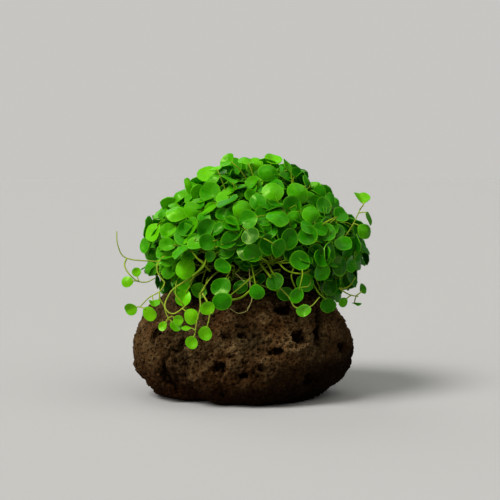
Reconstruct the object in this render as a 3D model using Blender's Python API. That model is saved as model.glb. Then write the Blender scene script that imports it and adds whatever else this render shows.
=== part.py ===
"""Dichondra grown over a lump of lava rock, at real size.

The origin is the middle of the stone's flat resting face. +Z is up, and -Y is the front.
One stone carries a low crown of rooting stems. Leafy sprigs rise from the crown and make a dome of
round leaves, and thin runners with smaller leaves trail out of it.
"""
import math
import random
from collections import namedtuple

import bmesh
import bpy
import numpy as np
from mathutils import Matrix, Vector, noise
from mathutils.bvhtree import BVHTree

MM = 0.001
UP = Vector((0.0, 0.0, 1.0))
GAP = 0.3 * MM

# The stone: a bun that is widest at its waist and cut off flat where it rests
ROCK_HALF_WIDTH = 50.0 * MM
ROCK_HALF_DEPTH = 38.5 * MM
ROCK_WAIST = 20.5 * MM
ROCK_CAP = 35.0 * MM
ROCK_KEEL = 28.0 * MM
ROCK_FULLNESS = 2.02
ROCK_AROUND = 44
ROCK_RINGS = 22
LUMPS = ((24.0 * MM, 2.4 * MM), (10.0 * MM, 3.0 * MM))
RIDGE_SPACING = 13.0 * MM
RIDGE_HEIGHT = 1.3 * MM
RIDGE_LEVEL = 0.75
CREASE_AZIMUTH = -136.0
CREASE_WIDTH = 9.0
CREASE_DEPTH = 4.2 * MM
CREASE_TOP = 34.0 * MM
CREASE_FADE = 3.0 * MM
LEDGE_AZIMUTH = -92.0
LEDGE_WIDTH = 30.0
LEDGE_HEIGHT = 25.0 * MM
LEDGE_UNDER = 15.0 * MM
LEDGE_FADE = 6.0 * MM
LEDGE_DEPTH = 2.0 * MM
ROCK_CLEARANCE = 2.4 * MM

PIT_VIEW = 100.0 * MM
ROUND_PIT = 3.1
PIT_SHAPE = Vector((1.25, 1.0, 0.85))

# Each pit: the side it is seen from in degrees, how far to the right there, its height and its radius
PITS = (
    (0, -10.5, 18.5, 3.6),
    (0, 0.5, 15.0, 2.4),
    (0, 8.0, 18.5, 2.6),
    (0, 14.5, 25.0, 3.0),
    (0, 26.0, 31.5, 4.4),
    (0, 33.0, 32.0, 2.4),
    (0, -7.0, 32.0, 2.6),
    (0, 17.5, 43.0, 3.8),
    (0, 29.5, 12.5, 3.4),
    (0, -38.0, 31.5, 2.8),
    (0, -25.5, 26.0, 2.2),
    (90, -14.0, 24.0, 3.8),
    (90, 9.0, 33.0, 3.0),
    (90, 18.0, 16.0, 2.6),
    (180, -24.0, 28.0, 4.2),
    (180, 3.0, 19.0, 3.2),
    (180, 21.0, 36.0, 3.0),
    (180, 30.0, 17.0, 2.6),
    (270, -13.0, 18.0, 3.4),
    (270, 8.0, 30.0, 2.8),
)
HOLLOW_PLACE = Vector((24.0, -36.0, -2.0)) * MM
HOLLOW_SIZE = Vector((22.0, 13.0, 7.5)) * MM

# The crown: a low cushion of rooting stems on top of the stone
CROWN_PLACE = Vector((4.0, 0.0, 54.5)) * MM
CROWN_SIZE = Vector((19.0, 17.0, 7.5)) * MM
CROWN_LEAN = 0.5
CROWN_AROUND = 16
CROWN_RINGS = 8
CROWN_BED_GAP = 0.6 * MM

# The dome that the leaves fill, pointed a little at the top and blunt at its skirt
DOME_PLACE = Vector((5.5, 0.0, 70.0)) * MM
DOME_HALF_WIDTH = 52.0 * MM
DOME_HALF_DEPTH = 46.0 * MM
DOME_RISE = 39.5 * MM
DOME_DROP = 26.0 * MM
DOME_RISE_POWER = 1.6
DOME_DROP_POWER = 3.0
EYE = Vector((3.4, -552.0, 104.0)) * MM

STEM_COUNT = 30
STEM_RADIUS = 0.65 * MM
STEM_SINK = 11.0 * MM
STEM_LAST_ANGLE = 120.0
STEM_LEAVE = 0.4
STEM_ARRIVE = 0.35
STEM_RISING = 0.4
STEM_CLEARANCE = 1.9 * MM
BEAD_SPACING = 1.5 * MM
FOOT_SWINGS = (0.0, 9.0, -9.0, 18.0, -18.0, 27.0, -27.0)
PETIOLE_RADIUS = 0.42 * MM
BRANCH_RADIUS = 0.6 * MM
BRANCH_KEEL = 0.95 * MM
STALK_KEEL = 0.63 * MM
HEEL_STEP = 0.2 * MM
WELD = 0.02 * MM
SMOOTH_BELOW = 50.0
SAME_WAY = 0.99
SLOT_BACK_TURN = 0.8
SLOT_TURN_COST = 2.5 * MM
SLOT_BACK_COST = 20.0 * MM
ROOT_LIFT = 0.35 * MM
BLADE_STATIONS = ((0.45, 0.7 * MM), (1.15, 0.8 * MM), (1.8, 0.5 * MM))
STEM_STEPS = (0.0, 0.4, 0.68, 0.79, 0.9, 1.0)
LEAF_TRIES = 18
MOST_LEAVES = 6
NODE_STEP = 0.8 * MM
NODE_SPACING = 1.3 * MM
LEAFY_FROM = 0.62
SHORTEST_STALK = 2.2 * MM
LEAF_CLEARANCE = 1.8 * MM
SIBLING_CLEARANCE = 1.3 * MM
STALK_FREE = 2.5 * MM
RUNNER_RISE = 2.5 * MM
VIEW_STEP = 0.5
VIEW_STEPS = (-100, 61)
FRONT_SINKS = (3.0, 1.0, 5.0, -1.0, 7.0, -3.0, 9.5, -5.5, 12.0, -8.0, 15.0)
STEMS_TRIED = 3

# The leaves spread round each stem's tip, in a spiral that opens from one leaf to the next
SPIRAL_TURN = 2.4
SPIRAL_SWAY = 0.3
SPIRAL_START = 2.0 * MM
SPIRAL_OPENING = 3.6 * MM
SPREAD_SINKS = (2.0 * MM, 6.5 * MM)
SPREAD_SIZES = (3.5 * MM, 4.7 * MM)
SPREAD_LIFT = 0.35
SPREAD_SWAY = 0.42

# Leaves seen from the front: how far right and how high they show, radius, then the turn to the right and
# the tilt upwards of their upper face, in millimetres and degrees
FRONT_LEAVES = (
    (-5.0, 105.5, 4.6, -5, 12),
    (-7.5, 109.0, 3.5, -20, 45),
    (-12.0, 105.0, 3.6, -60, 68),
    (-13.5, 99.5, 4.2, -25, 40),
    (-15.0, 94.0, 4.8, -10, 15),
    (-25.0, 97.0, 3.6, 62, 20),
    (-29.0, 92.0, 4.4, -35, 25),
    (-31.5, 88.0, 3.0, 10, 72),
    (-37.5, 84.0, 3.6, -35, 15),
    (-30.5, 83.5, 4.6, -10, 50),
    (-22.5, 85.5, 4.4, 32, 22),
    (-9.5, 84.0, 2.8, 0, 25),
    (-41.5, 75.5, 4.6, -30, 28),
    (-34.5, 76.5, 4.0, 5, 35),
    (-26.0, 77.5, 4.0, 12, 8),
    (-5.5, 78.5, 4.2, -25, 5),
    (-45.5, 69.5, 3.6, -35, 10),
    (-35.0, 70.0, 3.4, 0, 22),
    (-21.0, 70.5, 4.2, -20, 40),
    (-16.5, 71.0, 3.8, 30, 12),
    (-5.5, 71.5, 4.2, -12, 0),
    (-15.0, 64.5, 2.4, -10, 0),
    (-9.5, 59.5, 3.6, 20, 35),
    (-42.5, 58.5, 3.4, -30, 5),
    (-34.0, 57.5, 3.6, -20, 15),
    (-26.5, 58.5, 4.4, 0, 12),
    (-27.5, 52.5, 4.2, -8, 0),
    (-27.5, 45.0, 3.4, 0, 15),
    (-20.2, 48.5, 3.3, 15, 5),
    (-10.0, 50.0, 4.6, -10, 12),
    (-9.5, 43.5, 4.2, 10, 5),
    (7.5, 53.0, 3.2, 0, 45),
    (6.6, 47.8, 3.3, 0, 5),
    (-1.0, 50.2, 3.4, -10, 0),
    (1.0, 108.8, 3.6, 0, 60),
    (5.5, 106.0, 4.3, 8, 15),
    (14.0, 109.0, 4.4, 20, 62),
    (20.5, 106.0, 3.5, 62, 30),
    (12.0, 102.5, 4.6, 5, 8),
    (20.5, 100.5, 4.5, 35, 45),
    (14.0, 94.5, 4.8, 10, 30),
    (7.0, 89.5, 3.7, -8, 22),
    (25.5, 93.5, 4.8, 18, 20),
    (22.5, 88.0, 4.5, 25, 5),
    (29.5, 98.0, 4.2, 76, 5),
    (35.5, 94.0, 3.2, 15, -8),
    (42.5, 89.0, 2.9, 20, 10),
    (45.0, 83.5, 3.8, 30, 28),
    (37.5, 88.0, 4.0, 40, 30),
    (2.5, 81.5, 4.2, -20, 12),
    (16.0, 81.5, 5.0, 20, 28),
    (10.0, 77.5, 3.4, -10, 8),
    (23.5, 81.5, 3.8, 15, -5),
    (30.0, 74.0, 4.2, 10, 2),
    (35.5, 76.5, 3.4, 25, 20),
    (22.0, 72.5, 4.6, 12, 0),
    (34.0, 66.0, 3.9, 15, 0),
    (46.5, 70.0, 4.1, 20, 22),
    (4.5, 66.0, 4.0, -5, 8),
    (17.5, 68.0, 4.2, 30, -5),
    (26.5, 62.5, 4.2, 10, 0),
    (53.5, 62.5, 4.5, 58, 10),
    (45.0, 60.0, 4.2, 30, 0),
    (36.5, 57.0, 4.0, 20, 5),
    (15.0, 52.5, 3.7, 0, 12),
    (19.8, 47.0, 3.6, 10, 0),
    (25.0, 46.0, 3.3, 10, -5),
    (29.0, 52.0, 4.0, 18, 0),
    (40.0, 50.0, 3.8, 25, 5),
    (39.2, 41.5, 3.4, 25, 5),
    (44.4, 46.5, 3.5, 50, 0),
)

# Runners: routes and leaves as they show from the front, each point how far right, how high and how far
# behind the stone's middle it is. The first point of a route says where on the crown it starts.
RUNNERS = {
    "runner_left": {
        "start": (-90, 66),
        "routes": (
            ((-30, 61, -16), (-39, 62, -18), (-53.5, 63.5, -19), (-57.5, 69.5, -20), (-58, 76, -19)),
            ((-53.5, 63.5, -19), (-54.5, 60.5, -20), (-53, 57, -21), (-49, 53.2, -21), (-44.5, 52.5, -20),
             (-40.5, 54.3, -18)),
        ),
        "leaves": ((-53.4, 52.6, -22, 2.6, -15, 10), (-48.9, 56.4, -19, 2.2, 0, 25)),
    },
    "runner_front_left": {
        "start": (-48, 62),
        "routes": (
            ((-24, 61, -21), (-34, 65, -27), (-38.5, 62, -29), (-39.5, 58, -30), (-37.5, 54, -31),
             (-36, 52, -31.5), (-38.5, 48, -32), (-43, 45.5, -31), (-47.5, 41, -30)),
            ((-38.5, 48, -32), (-38.2, 44.5, -33), (-36.5, 41.8, -33.5), (-35.5, 38.3, -34),
             (-34, 35, -34)),
        ),
        "leaves": ((-50.6, 40.3, -30, 2.7, -8, 5), (-44, 38.8, -31, 3.2, 5, 10), (-41, 43, -34, 2.5, 0, 62),
                   (-37, 32.2, -34.5, 2.1, -10, 25), (-32, 33.3, -35, 2.7, -10, 25),
                   (-29.8, 34.6, -37.5, 2.3, 20, 30)),
    },
    "runner_loop": {
        "start": (-62, 66),
        "routes": (
            ((-19, 57, -24), (-31, 50, -31), (-34.6, 45.5, -33), (-36, 41.5, -37), (-34.5, 38.6, -38),
             (-32, 37.8, -38), (-29.5, 39, -38), (-26.5, 41.5, -37)),
        ),
        "leaves": ((-24.5, 37.2, -38, 3.2, 0, 5),),
    },
    "runner_hanging": {
        "start": (-28, 66),
        "routes": (
            ((-12, 57, -29), (-19, 48, -37), (-19.6, 40.5, -40), (-21.2, 34.5, -41), (-22, 28.5, -41)),
            ((-19, 48, -37), (-15.5, 41.5, -40), (-15.3, 37.5, -41), (-16, 33, -41)),
        ),
        "leaves": ((-23.3, 25.4, -41, 2.7, -5, 5), (-25.2, 31.2, -40.5, 2.1, 0, 60),
                   (-16.4, 40.4, -45.5, 2.9, 5, 5), (-17, 30, -41, 2.9, 5, 12)),
    },
    "runner_right_front": {
        "start": (42, 66),
        "routes": (
            ((12, 56, -26), (21, 46, -37), (24, 41, -38.5), (28, 40.5, -39), (32, 41.5, -37.5),
             (35.5, 45.5, -34)),
        ),
        "leaves": ((28.2, 39.6, -43.5, 2.9, 5, 50), (25.0, 46.2, -39.5, 2.4, -10, 10)),
    },
    "runner_right": {
        "start": (88, 66),
        "routes": (
            ((32, 57, -14), (44, 50, -17), (49, 50.5, -16), (52, 54.5, -15)),
            ((44, 50, -17), (49, 46.8, -18), (53.5, 45.8, -18)),
        ),
        "leaves": ((55.8, 49.5, -15.5, 2.4, 40, 20), (52.6, 42.8, -18.5, 2.2, 30, 60),
                   (46.4, 43, -19.5, 2.3, 15, 10)),
    },
    "runner_upper_right": {
        "start": (80, 40),
        "routes": (
            ((30, 66, -10), (42, 69, -13), (47, 73.5, -14), (51, 79.5, -13), (54, 86, -12)),
        ),
        "leaves": ((54.3, 89.6, -12, 3.6, 35, 55), (57.6, 82, -12.5, 3.3, 62, 12),
                   (55, 76.5, -13, 3.8, 40, 20)),
    },
    "runner_back": {
        "start": (168, 66),
        "routes": (
            ((10, 58, 24), (20, 54, 36), (27, 46, 41), (31, 37, 42), (30, 31, 42.5)),
            ((20, 54, 36), (14, 49, 42), (9, 43, 43.5)),
        ),
        "leaves": ((33.5, 41, 43.5, 2.9, 170, 10), (28, 27.5, 43, 2.8, 185, 8),
                   (34.5, 33, 43.5, 2.3, 165, 40), (6, 40.5, 44, 2.8, 190, 10), (15, 44, 45, 2.4, 178, 50)),
    },
}

COLOURS = {
    "stone": ((0.031, 0.020, 0.009), 0.92),
    "crown": ((0.060, 0.058, 0.012), 0.70),
    "leaf": ((0.035, 0.210, 0.006), 0.38),
    "runner": ((0.130, 0.300, 0.012), 0.42),
}

Leaf = namedtuple("Leaf", "centre facing base radius node")
Stem = namedtuple("Stem", "points leaves")


def clear_scene():
    """Empty the scene that a new file starts with."""
    for thing in list(bpy.data.objects):
        bpy.data.objects.remove(thing, do_unlink=True)


def new_collection(name, shown):
    """A collection in the scene, for the parts or for the shapes that only cut or join them."""
    made = bpy.data.collections.new(name)
    bpy.context.scene.collection.children.link(made)
    made.hide_render = not shown
    return made


def new_material(name):
    """A plain Principled material in one of the object's colours."""
    colour, roughness = COLOURS[name]
    material = bpy.data.materials.new(name)
    material.use_nodes = True
    shader = material.node_tree.nodes["Principled BSDF"]
    shader.inputs["Base Color"].default_value = (*colour, 1.0)
    shader.inputs["Roughness"].default_value = roughness
    shader.inputs["Metallic"].default_value = 0.0
    return material


def add_object(name, mesh, collection, material=None):
    """An object at the origin that shows a mesh, round surfaces shaded smooth."""
    made = bpy.data.objects.new(name, mesh)
    collection.objects.link(made)
    if material is None:
        made.hide_render = True
        made.display_type = "WIRE"
        return made
    mesh.materials.clear()
    mesh.materials.append(material)
    mesh.shade_smooth()
    mesh.set_sharp_from_angle(angle=math.radians(SMOOTH_BELOW))
    return made


def mesh_from(shape, name):
    """Turn a finished bmesh into a mesh with its faces pointing out."""
    bmesh.ops.recalc_face_normals(shape, faces=shape.faces)
    mesh = bpy.data.meshes.new(name)
    shape.to_mesh(mesh)
    shape.free()
    return mesh


def bell(offset, width):
    """A smooth bump that is 1 at no offset and fades over about twice its width."""
    return math.exp(-((offset / width) ** 2))


# The stone

def rock_skin(direction):
    """The smooth bun's reach along a unit direction from the middle of its waist."""
    tall = ROCK_CAP if direction.z > 0.0 else ROCK_KEEL
    total = abs(direction.x / ROCK_HALF_WIDTH) ** ROCK_FULLNESS
    total += abs(direction.y / ROCK_HALF_DEPTH) ** ROCK_FULLNESS
    total += abs(direction.z / tall) ** ROCK_FULLNESS
    return total ** (-1.0 / ROCK_FULLNESS)


def rock_relief(place):
    """How far the stone's lumps, its crease and its ledge move the skin in or out at a place."""
    relief = 0.0
    for size, height in LUMPS:
        relief += height * noise.noise(place / size)
    ridges = noise.ridged_multi_fractal(place / RIDGE_SPACING, 1.0, 2.0, 2, 1.0, 2.0)
    relief += RIDGE_HEIGHT * (ridges - RIDGE_LEVEL)
    azimuth = math.degrees(math.atan2(place.y, place.x))
    low = 1.0 / (1.0 + math.exp((place.z - CREASE_TOP) / CREASE_FADE))
    relief -= CREASE_DEPTH * bell(azimuth - CREASE_AZIMUTH, CREASE_WIDTH) * low
    under = bell(place.z - LEDGE_UNDER, LEDGE_FADE)
    over = bell(place.z - LEDGE_HEIGHT, LEDGE_FADE)
    relief += LEDGE_DEPTH * (over - under) * bell(azimuth - LEDGE_AZIMUTH, LEDGE_WIDTH)
    return relief


def rock_shape(grow):
    """The stone without pits as a bmesh, cut flat at the ground, its skin moved out by grow."""
    shape = bmesh.new()
    bmesh.ops.create_uvsphere(shape, u_segments=ROCK_AROUND, v_segments=ROCK_RINGS, radius=1.0)
    middle = UP * ROCK_WAIST
    for corner in shape.verts:
        direction = corner.co.normalized()
        skin = direction * rock_skin(direction)
        corner.co = middle + skin + direction * (rock_relief(skin) + grow)
    everything = shape.verts[:] + shape.edges[:] + shape.faces[:]
    bmesh.ops.bisect_plane(shape, geom=everything, plane_co=(0, 0, 0), plane_no=(0, 0, 1), clear_inner=True)
    rim = [edge for edge in shape.edges if edge.is_boundary]
    bmesh.ops.contextual_create(shape, geom=rim)
    return shape


def ball(place, size, rounds):
    """A ball or ellipsoid of the given half sizes at a place, as a mesh."""
    shape = bmesh.new()
    bmesh.ops.create_icosphere(shape, subdivisions=rounds, radius=1.0)
    bmesh.ops.scale(shape, vec=size, verts=shape.verts)
    bmesh.ops.translate(shape, vec=place, verts=shape.verts)
    return mesh_from(shape, "ball")


def pit_place(tree, side, across, height):
    """Where a level line, seen from one side of the stone, meets its skin."""
    turn = Matrix.Rotation(math.radians(side), 3, "Z")
    start = turn @ (Vector((across * MM, -PIT_VIEW, height * MM)))
    return tree.ray_cast(start, turn @ Vector((0.0, 1.0, 0.0)))[0]


def make_rock(parts, cutters):
    """The stone, with its pits and the hollow under its right front."""
    shape = rock_shape(0.0)
    tree = BVHTree.FromBMesh(shape)
    rock = add_object("lava_rock", mesh_from(shape, "lava_rock"), parts, new_material("stone"))
    holes = bpy.data.collections.new("rock_pits")
    cutters.children.link(holes)
    for number, (side, across, height, radius) in enumerate(PITS, 1):
        place = pit_place(tree, side, across, height)
        size = PIT_SHAPE * radius * MM
        add_object(f"pit_{number:02d}", ball(place, size, 2 if radius > ROUND_PIT else 1), holes)
    add_object("hollow", ball(HOLLOW_PLACE, HOLLOW_SIZE, 3), holes)
    cut = rock.modifiers.new("pits", "BOOLEAN")
    cut.operation = "DIFFERENCE"
    cut.operand_type = "COLLECTION"
    cut.collection = holes
    cut.solver = "EXACT"


def make_crown(parts, cutters):
    """The cushion of rooting stems, which lies on the stone's top."""
    shape = bmesh.new()
    bmesh.ops.create_uvsphere(shape, u_segments=CROWN_AROUND, v_segments=CROWN_RINGS, radius=1.0)
    bmesh.ops.scale(shape, vec=CROWN_SIZE, verts=shape.verts)
    bmesh.ops.translate(shape, vec=CROWN_PLACE, verts=shape.verts)
    crown = add_object("root_crown", mesh_from(shape, "root_crown"), parts, new_material("crown"))
    bed = add_object("crown_bed", mesh_from(rock_shape(CROWN_BED_GAP), "crown_bed"), cutters)
    cut = crown.modifiers.new("bed", "BOOLEAN")
    cut.operation = "DIFFERENCE"
    cut.object = bed
    cut.solver = "EXACT"


# The plant's plan: where each stem runs and each leaf sits

def dome_reach(direction):
    """The dome's reach along a unit direction from its middle."""
    rising = direction.z > 0.0
    power = DOME_RISE_POWER if rising else DOME_DROP_POWER
    out = math.hypot(direction.x / DOME_HALF_WIDTH, direction.y / DOME_HALF_DEPTH)
    up = abs(direction.z) / (DOME_RISE if rising else DOME_DROP)
    return (out ** power + up ** power) ** (-1.0 / power)


def on_dome(direction, sink):
    """A point in the dome, sunk below its skin."""
    return DOME_PLACE + direction * (dome_reach(direction) - sink)


def seen(across, height, behind):
    """The point at a depth that shows, from the front, at a place on the plane through the stone."""
    target = Vector((across, 0.0, height)) * MM
    return EYE + (target - EYE) * (1.0 - behind * MM / EYE.y)


def seen_on_dome(across, height, sink):
    """Where the line of sight to a place first comes sink deep into the dome, or passes nearest to that."""
    best, shortest = None, None
    for step in range(*VIEW_STEPS):
        place = seen(across, height, VIEW_STEP * step)
        arm = place - DOME_PLACE
        over = arm.length - (dome_reach(arm.normalized()) - sink)
        if over <= 0.0:
            return place
        if shortest is None or over < shortest:
            best, shortest = place, over
    return best


def facing(turn, tilt):
    """The unit direction of an upper face that is turned to the right and tilted upwards."""
    turn = math.radians(turn)
    tilt = math.radians(tilt)
    return Vector((math.sin(turn) * math.cos(tilt), -math.cos(turn) * math.cos(tilt), math.sin(tilt)))


def crown_start(azimuth, lean):
    """A point just off the crown and the direction straight out of it there, angles in radians."""
    out = Vector((math.sin(lean) * math.cos(azimuth), math.sin(lean) * math.sin(azimuth), math.cos(lean)))
    place = CROWN_PLACE + Vector(part * size for part, size in zip(out, CROWN_SIZE))
    normal = Vector(part / size for part, size in zip(out, CROWN_SIZE)).normalized()
    return place + normal * GAP, normal


def curve_points(start, leave, arrive, end):
    """Points along a cubic curve from start to end, by way of its two handles, closer where leaves grow."""
    points = []
    for t in STEM_STEPS:
        s = 1.0 - t
        points.append(start * s ** 3 + leave * 3 * s * s * t + arrive * 3 * s * t * t + end * t ** 3)
    return points


def stem_directions():
    """Directions spread evenly over the dome, from its top down to its skirt."""
    lowest = math.cos(math.radians(STEM_LAST_ANGLE))
    golden = math.pi * (3.0 - math.sqrt(5.0))
    for index in range(STEM_COUNT):
        height = 1.0 - (1.0 - lowest) * (index + 0.4) / STEM_COUNT
        flat = math.sqrt(1.0 - height * height)
        turn = golden * index
        yield Vector((flat * math.cos(turn), flat * math.sin(turn), height))


def plan_stem(direction, crowd):
    """The route of one leafy stem, its foot swung round the crown until it clears what is there."""
    for swing in FOOT_SWINGS:
        stem = stem_route(direction, math.radians(swing))
        if nearest(along(stem.points, BEAD_SPACING), crowd.points) > STEM_CLEARANCE:
            break
    return stem


def stem_route(direction, swing):
    """A route from the crown to just under the dome's skin."""
    azimuth = math.atan2(direction.y, direction.x) + swing
    lean = math.acos(direction.z) * CROWN_LEAN
    start, normal = crown_start(azimuth, lean)
    end = on_dome(direction, STEM_SINK)
    span = (end - start).length
    arrive = end - direction.lerp(UP, STEM_RISING) * span * STEM_ARRIVE
    return Stem(curve_points(start, start + normal * span * STEM_LEAVE, arrive, end), [])


def along(points, spacing):
    """Points no further apart than spacing along a route."""
    found = [points[0]]
    for first, last in zip(points, points[1:]):
        steps = max(1, math.ceil((last - first).length / spacing))
        found += [first.lerp(last, step / steps) for step in range(1, steps + 1)]
    return found


def blade_beads(leaf):
    """Points spread over a blade, by which one blade is kept clear of another."""
    side = leaf.facing.cross(leaf.base)
    beads = [leaf.centre]
    for share, count in ((0.5, 6), (1.0, 12)):
        for step in range(count):
            angle = 2.0 * math.pi * step / count
            spoke = leaf.base * math.cos(angle) + side * math.sin(angle)
            beads.append(leaf.centre + spoke * leaf.radius * share)
    return beads


def petiole_beads(leaf):
    """Points along a leaf's own short stalk."""
    return along([leaf.centre + leaf.base * leaf.radius, leaf.node], BEAD_SPACING)


def far_beads(leaf):
    """Points along the part of a leaf's stalk that has left the stem."""
    return [place for place in petiole_beads(leaf) if (place - leaf.node).length > STALK_FREE]


def nearest(beads, others):
    """The shortest distance between two sets of points."""
    if not len(others) or not beads:
        return math.inf
    gaps = np.array(beads)[:, None, :] - others[None, :, :]
    return math.sqrt((gaps * gaps).sum(axis=2).min())


class Crowd:
    """The places already taken, each with its owner, the stem it is on, and its kind."""

    STEM, STALK, BLADE = range(3)

    def __init__(self):
        self.points = np.zeros((0, 3))
        self.owners = np.zeros(0, dtype=int)
        self.kinds = np.zeros(0, dtype=int)
        self.nodes = {}

    def add(self, owner, beads, kind):
        if beads:
            self.points = np.vstack([self.points, np.array(beads)])
            self.owners = np.append(self.owners, [owner] * len(beads))
            self.kinds = np.append(self.kinds, [kind] * len(beads))

    def has_room(self, owner, leaf):
        """Whether a leaf clears the stone, every other stem's growth, and the growth on its own stem."""
        blade = blade_beads(leaf)
        stalk = petiole_beads(leaf)
        own = self.owners == owner
        if nearest(blade + stalk, self.points[~own]) < LEAF_CLEARANCE:
            return False
        if nearest(blade, self.points[own & (self.kinds == self.STEM)]) < SIBLING_CLEARANCE:
            return False
        if nearest(blade + far_beads(leaf), self.points[own & (self.kinds != self.STEM)]) < SIBLING_CLEARANCE:
            return False
        return all(off_the_rock(place) for place in blade + stalk)

    def free_nodes(self, owner, nodes):
        """The nodes of a stem that no leaf has taken yet."""
        taken = self.nodes.setdefault(owner, [])
        return [place for place in nodes if all((place - other).length > NODE_SPACING for other in taken)]

    def take(self, owner, leaf):
        """Give a leaf its place."""
        self.add(owner, blade_beads(leaf), self.BLADE)
        self.add(owner, far_beads(leaf), self.STALK)
        self.nodes.setdefault(owner, []).append(leaf.node)


def off_the_rock(place):
    """Whether a place is well outside the stone and above the ground it rests on."""
    arm = place - UP * ROCK_WAIST
    return arm.length > rock_skin(arm.normalized()) + ROCK_CLEARANCE


def outer_nodes(route):
    """Places on the outer part of a route where a leaf's stalk may start, short of its very end."""
    places = along(route, NODE_STEP)
    return places[int(len(places) * LEAFY_FROM):-1]


def leaf_at(centre, face, radius, nodes):
    """A leaf with its stalk running to the nearest of the nodes, no closer to it than its own size."""
    node = min(nodes, key=lambda place: (place - centre).length)
    apart = max((centre - node).length, radius + SHORTEST_STALK)
    centre = node + (centre - node).normalized() * apart
    base = node - centre
    base -= face * base.dot(face)
    if base.length < GAP:
        base = face.orthogonal()
    return Leaf(centre, face, base.normalized(), radius, node)


def plan_runner(name, details):
    """A trailing runner: its routes, the first one starting at the crown, and its small leaves."""
    azimuth, lean = details["start"]
    start, normal = crown_start(math.radians(-90.0 + azimuth), math.radians(lean))
    routes = [[seen(*point) for point in route] for route in details["routes"]]
    routes[0] = [start, start + normal * RUNNER_RISE] + routes[0]
    leaves = []
    for across, height, behind, radius, turn, tilt in details["leaves"]:
        nodes = [place for route in routes for place in outer_nodes(route)]
        leaves.append(leaf_at(seen(across, height, behind), facing(turn, tilt), radius * MM, nodes))
    return routes, leaves


def place_front_leaf(row, stems, crowd):
    """A leaf that shows from the front, slid along the line of sight until it has room by a stem near it."""
    across, height, radius, turn, tilt = row
    for sink in FRONT_SINKS:
        centre = seen_on_dome(across, height, sink * MM)
        near = sorted(range(len(stems)), key=lambda index: (stems[index].points[-1] - centre).length)
        for owner in near[:STEMS_TRIED]:
            nodes = crowd.free_nodes(owner, outer_nodes(stems[owner].points))
            leaf = leaf_at(centre, facing(turn, tilt), radius * MM, nodes) if nodes else None
            if leaf and crowd.has_room(owner, leaf):
                crowd.take(owner, leaf)
                stems[owner].leaves.append(leaf)
                return


def place_spread_leaves(stems, crowd):
    """Leaves around the tip of every stem, wherever they find room, until the stem has enough."""
    luck = random.Random(7)
    for owner, stem in enumerate(stems):
        direction = (stem.points[-1] - DOME_PLACE).normalized()
        across = direction.orthogonal().normalized()
        other = direction.cross(across)
        for attempt in range(LEAF_TRIES):
            angle = SPIRAL_TURN * attempt + luck.uniform(-SPIRAL_SWAY, SPIRAL_SWAY)
            away = (SPIRAL_START + SPIRAL_OPENING * math.sqrt(attempt)) / dome_reach(direction)
            aim = direction + (across * math.cos(angle) + other * math.sin(angle)) * away
            aim.normalize()
            centre = on_dome(aim, luck.uniform(*SPREAD_SINKS))
            sway = Vector((luck.uniform(-1, 1), luck.uniform(-1, 1), luck.uniform(-1, 1)))
            face = (aim + UP * SPREAD_LIFT + sway * SPREAD_SWAY).normalized()
            nodes = crowd.free_nodes(owner, outer_nodes(stem.points))
            leaf = leaf_at(centre, face, luck.uniform(*SPREAD_SIZES), nodes) if nodes else None
            if leaf and len(stem.leaves) < MOST_LEAVES and crowd.has_room(owner, leaf):
                crowd.take(owner, leaf)
                stem.leaves.append(leaf)


def plan_plant():
    """Every runner, and every leafy stem with its leaves, none touching another."""
    crowd = Crowd()
    runners = {}
    for number, (name, details) in enumerate(RUNNERS.items(), 1000):
        routes, leaves = plan_runner(name, details)
        for route in routes:
            crowd.add(number, along(route, BEAD_SPACING), crowd.STEM)
        for leaf in leaves:
            crowd.take(number, leaf)
        runners[name] = (routes, leaves)
    stems = []
    for owner, direction in enumerate(stem_directions()):
        stems.append(plan_stem(direction, crowd))
        crowd.add(owner, along(stems[owner].points, BEAD_SPACING), crowd.STEM)
    for row in sorted(FRONT_LEAVES, key=lambda row: -row[2]):
        place_front_leaf(row, stems, crowd)
    place_spread_leaves(stems, crowd)
    return runners, stems


# The plant's solids

def tube_shape(points, radius, collection):
    """A round stem through the points as a bmesh, with welded caps and three-sided faces."""
    curve = bpy.data.curves.new("stem", "CURVE")
    curve.dimensions = "3D"
    curve.bevel_depth = radius
    curve.bevel_resolution = 0
    curve.use_fill_caps = True
    spline = curve.splines.new("POLY")
    spline.points.add(len(points) - 1)
    for corner, place in zip(spline.points, points):
        corner.co = (*place, 1.0)
    guide = bpy.data.objects.new("stem", curve)
    collection.objects.link(guide)
    bpy.context.view_layer.update()
    evaluated = guide.evaluated_get(bpy.context.evaluated_depsgraph_get())
    mesh = bpy.data.meshes.new_from_object(evaluated)
    bpy.data.objects.remove(guide, do_unlink=True)
    shape = bmesh.new()
    shape.from_mesh(mesh)
    bpy.data.meshes.remove(mesh)
    bmesh.ops.remove_doubles(shape, verts=shape.verts, dist=WELD)
    bmesh.ops.recalc_face_normals(shape, faces=shape.faces)
    bmesh.ops.triangulate(shape, faces=shape.faces)
    return shape


def section(place, along_it, upper, half_width, keel):
    """Three corners across a shoot that runs along_it: its right edge, its left edge and its keel."""
    upper = (upper - along_it * upper.dot(along_it)).normalized()
    across = upper.cross(along_it)
    return [place + across * half_width, place - across * half_width, place - upper * keel]


def root_section(face, run, upper):
    """The narrow foot of a shoot, just off the face of the stem that it grows from."""
    place = face.calc_center_median() + face.normal * ROOT_LIFT
    return section(place, (face.normal + run).normalized(), upper, PETIOLE_RADIUS, PETIOLE_RADIUS)


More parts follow.
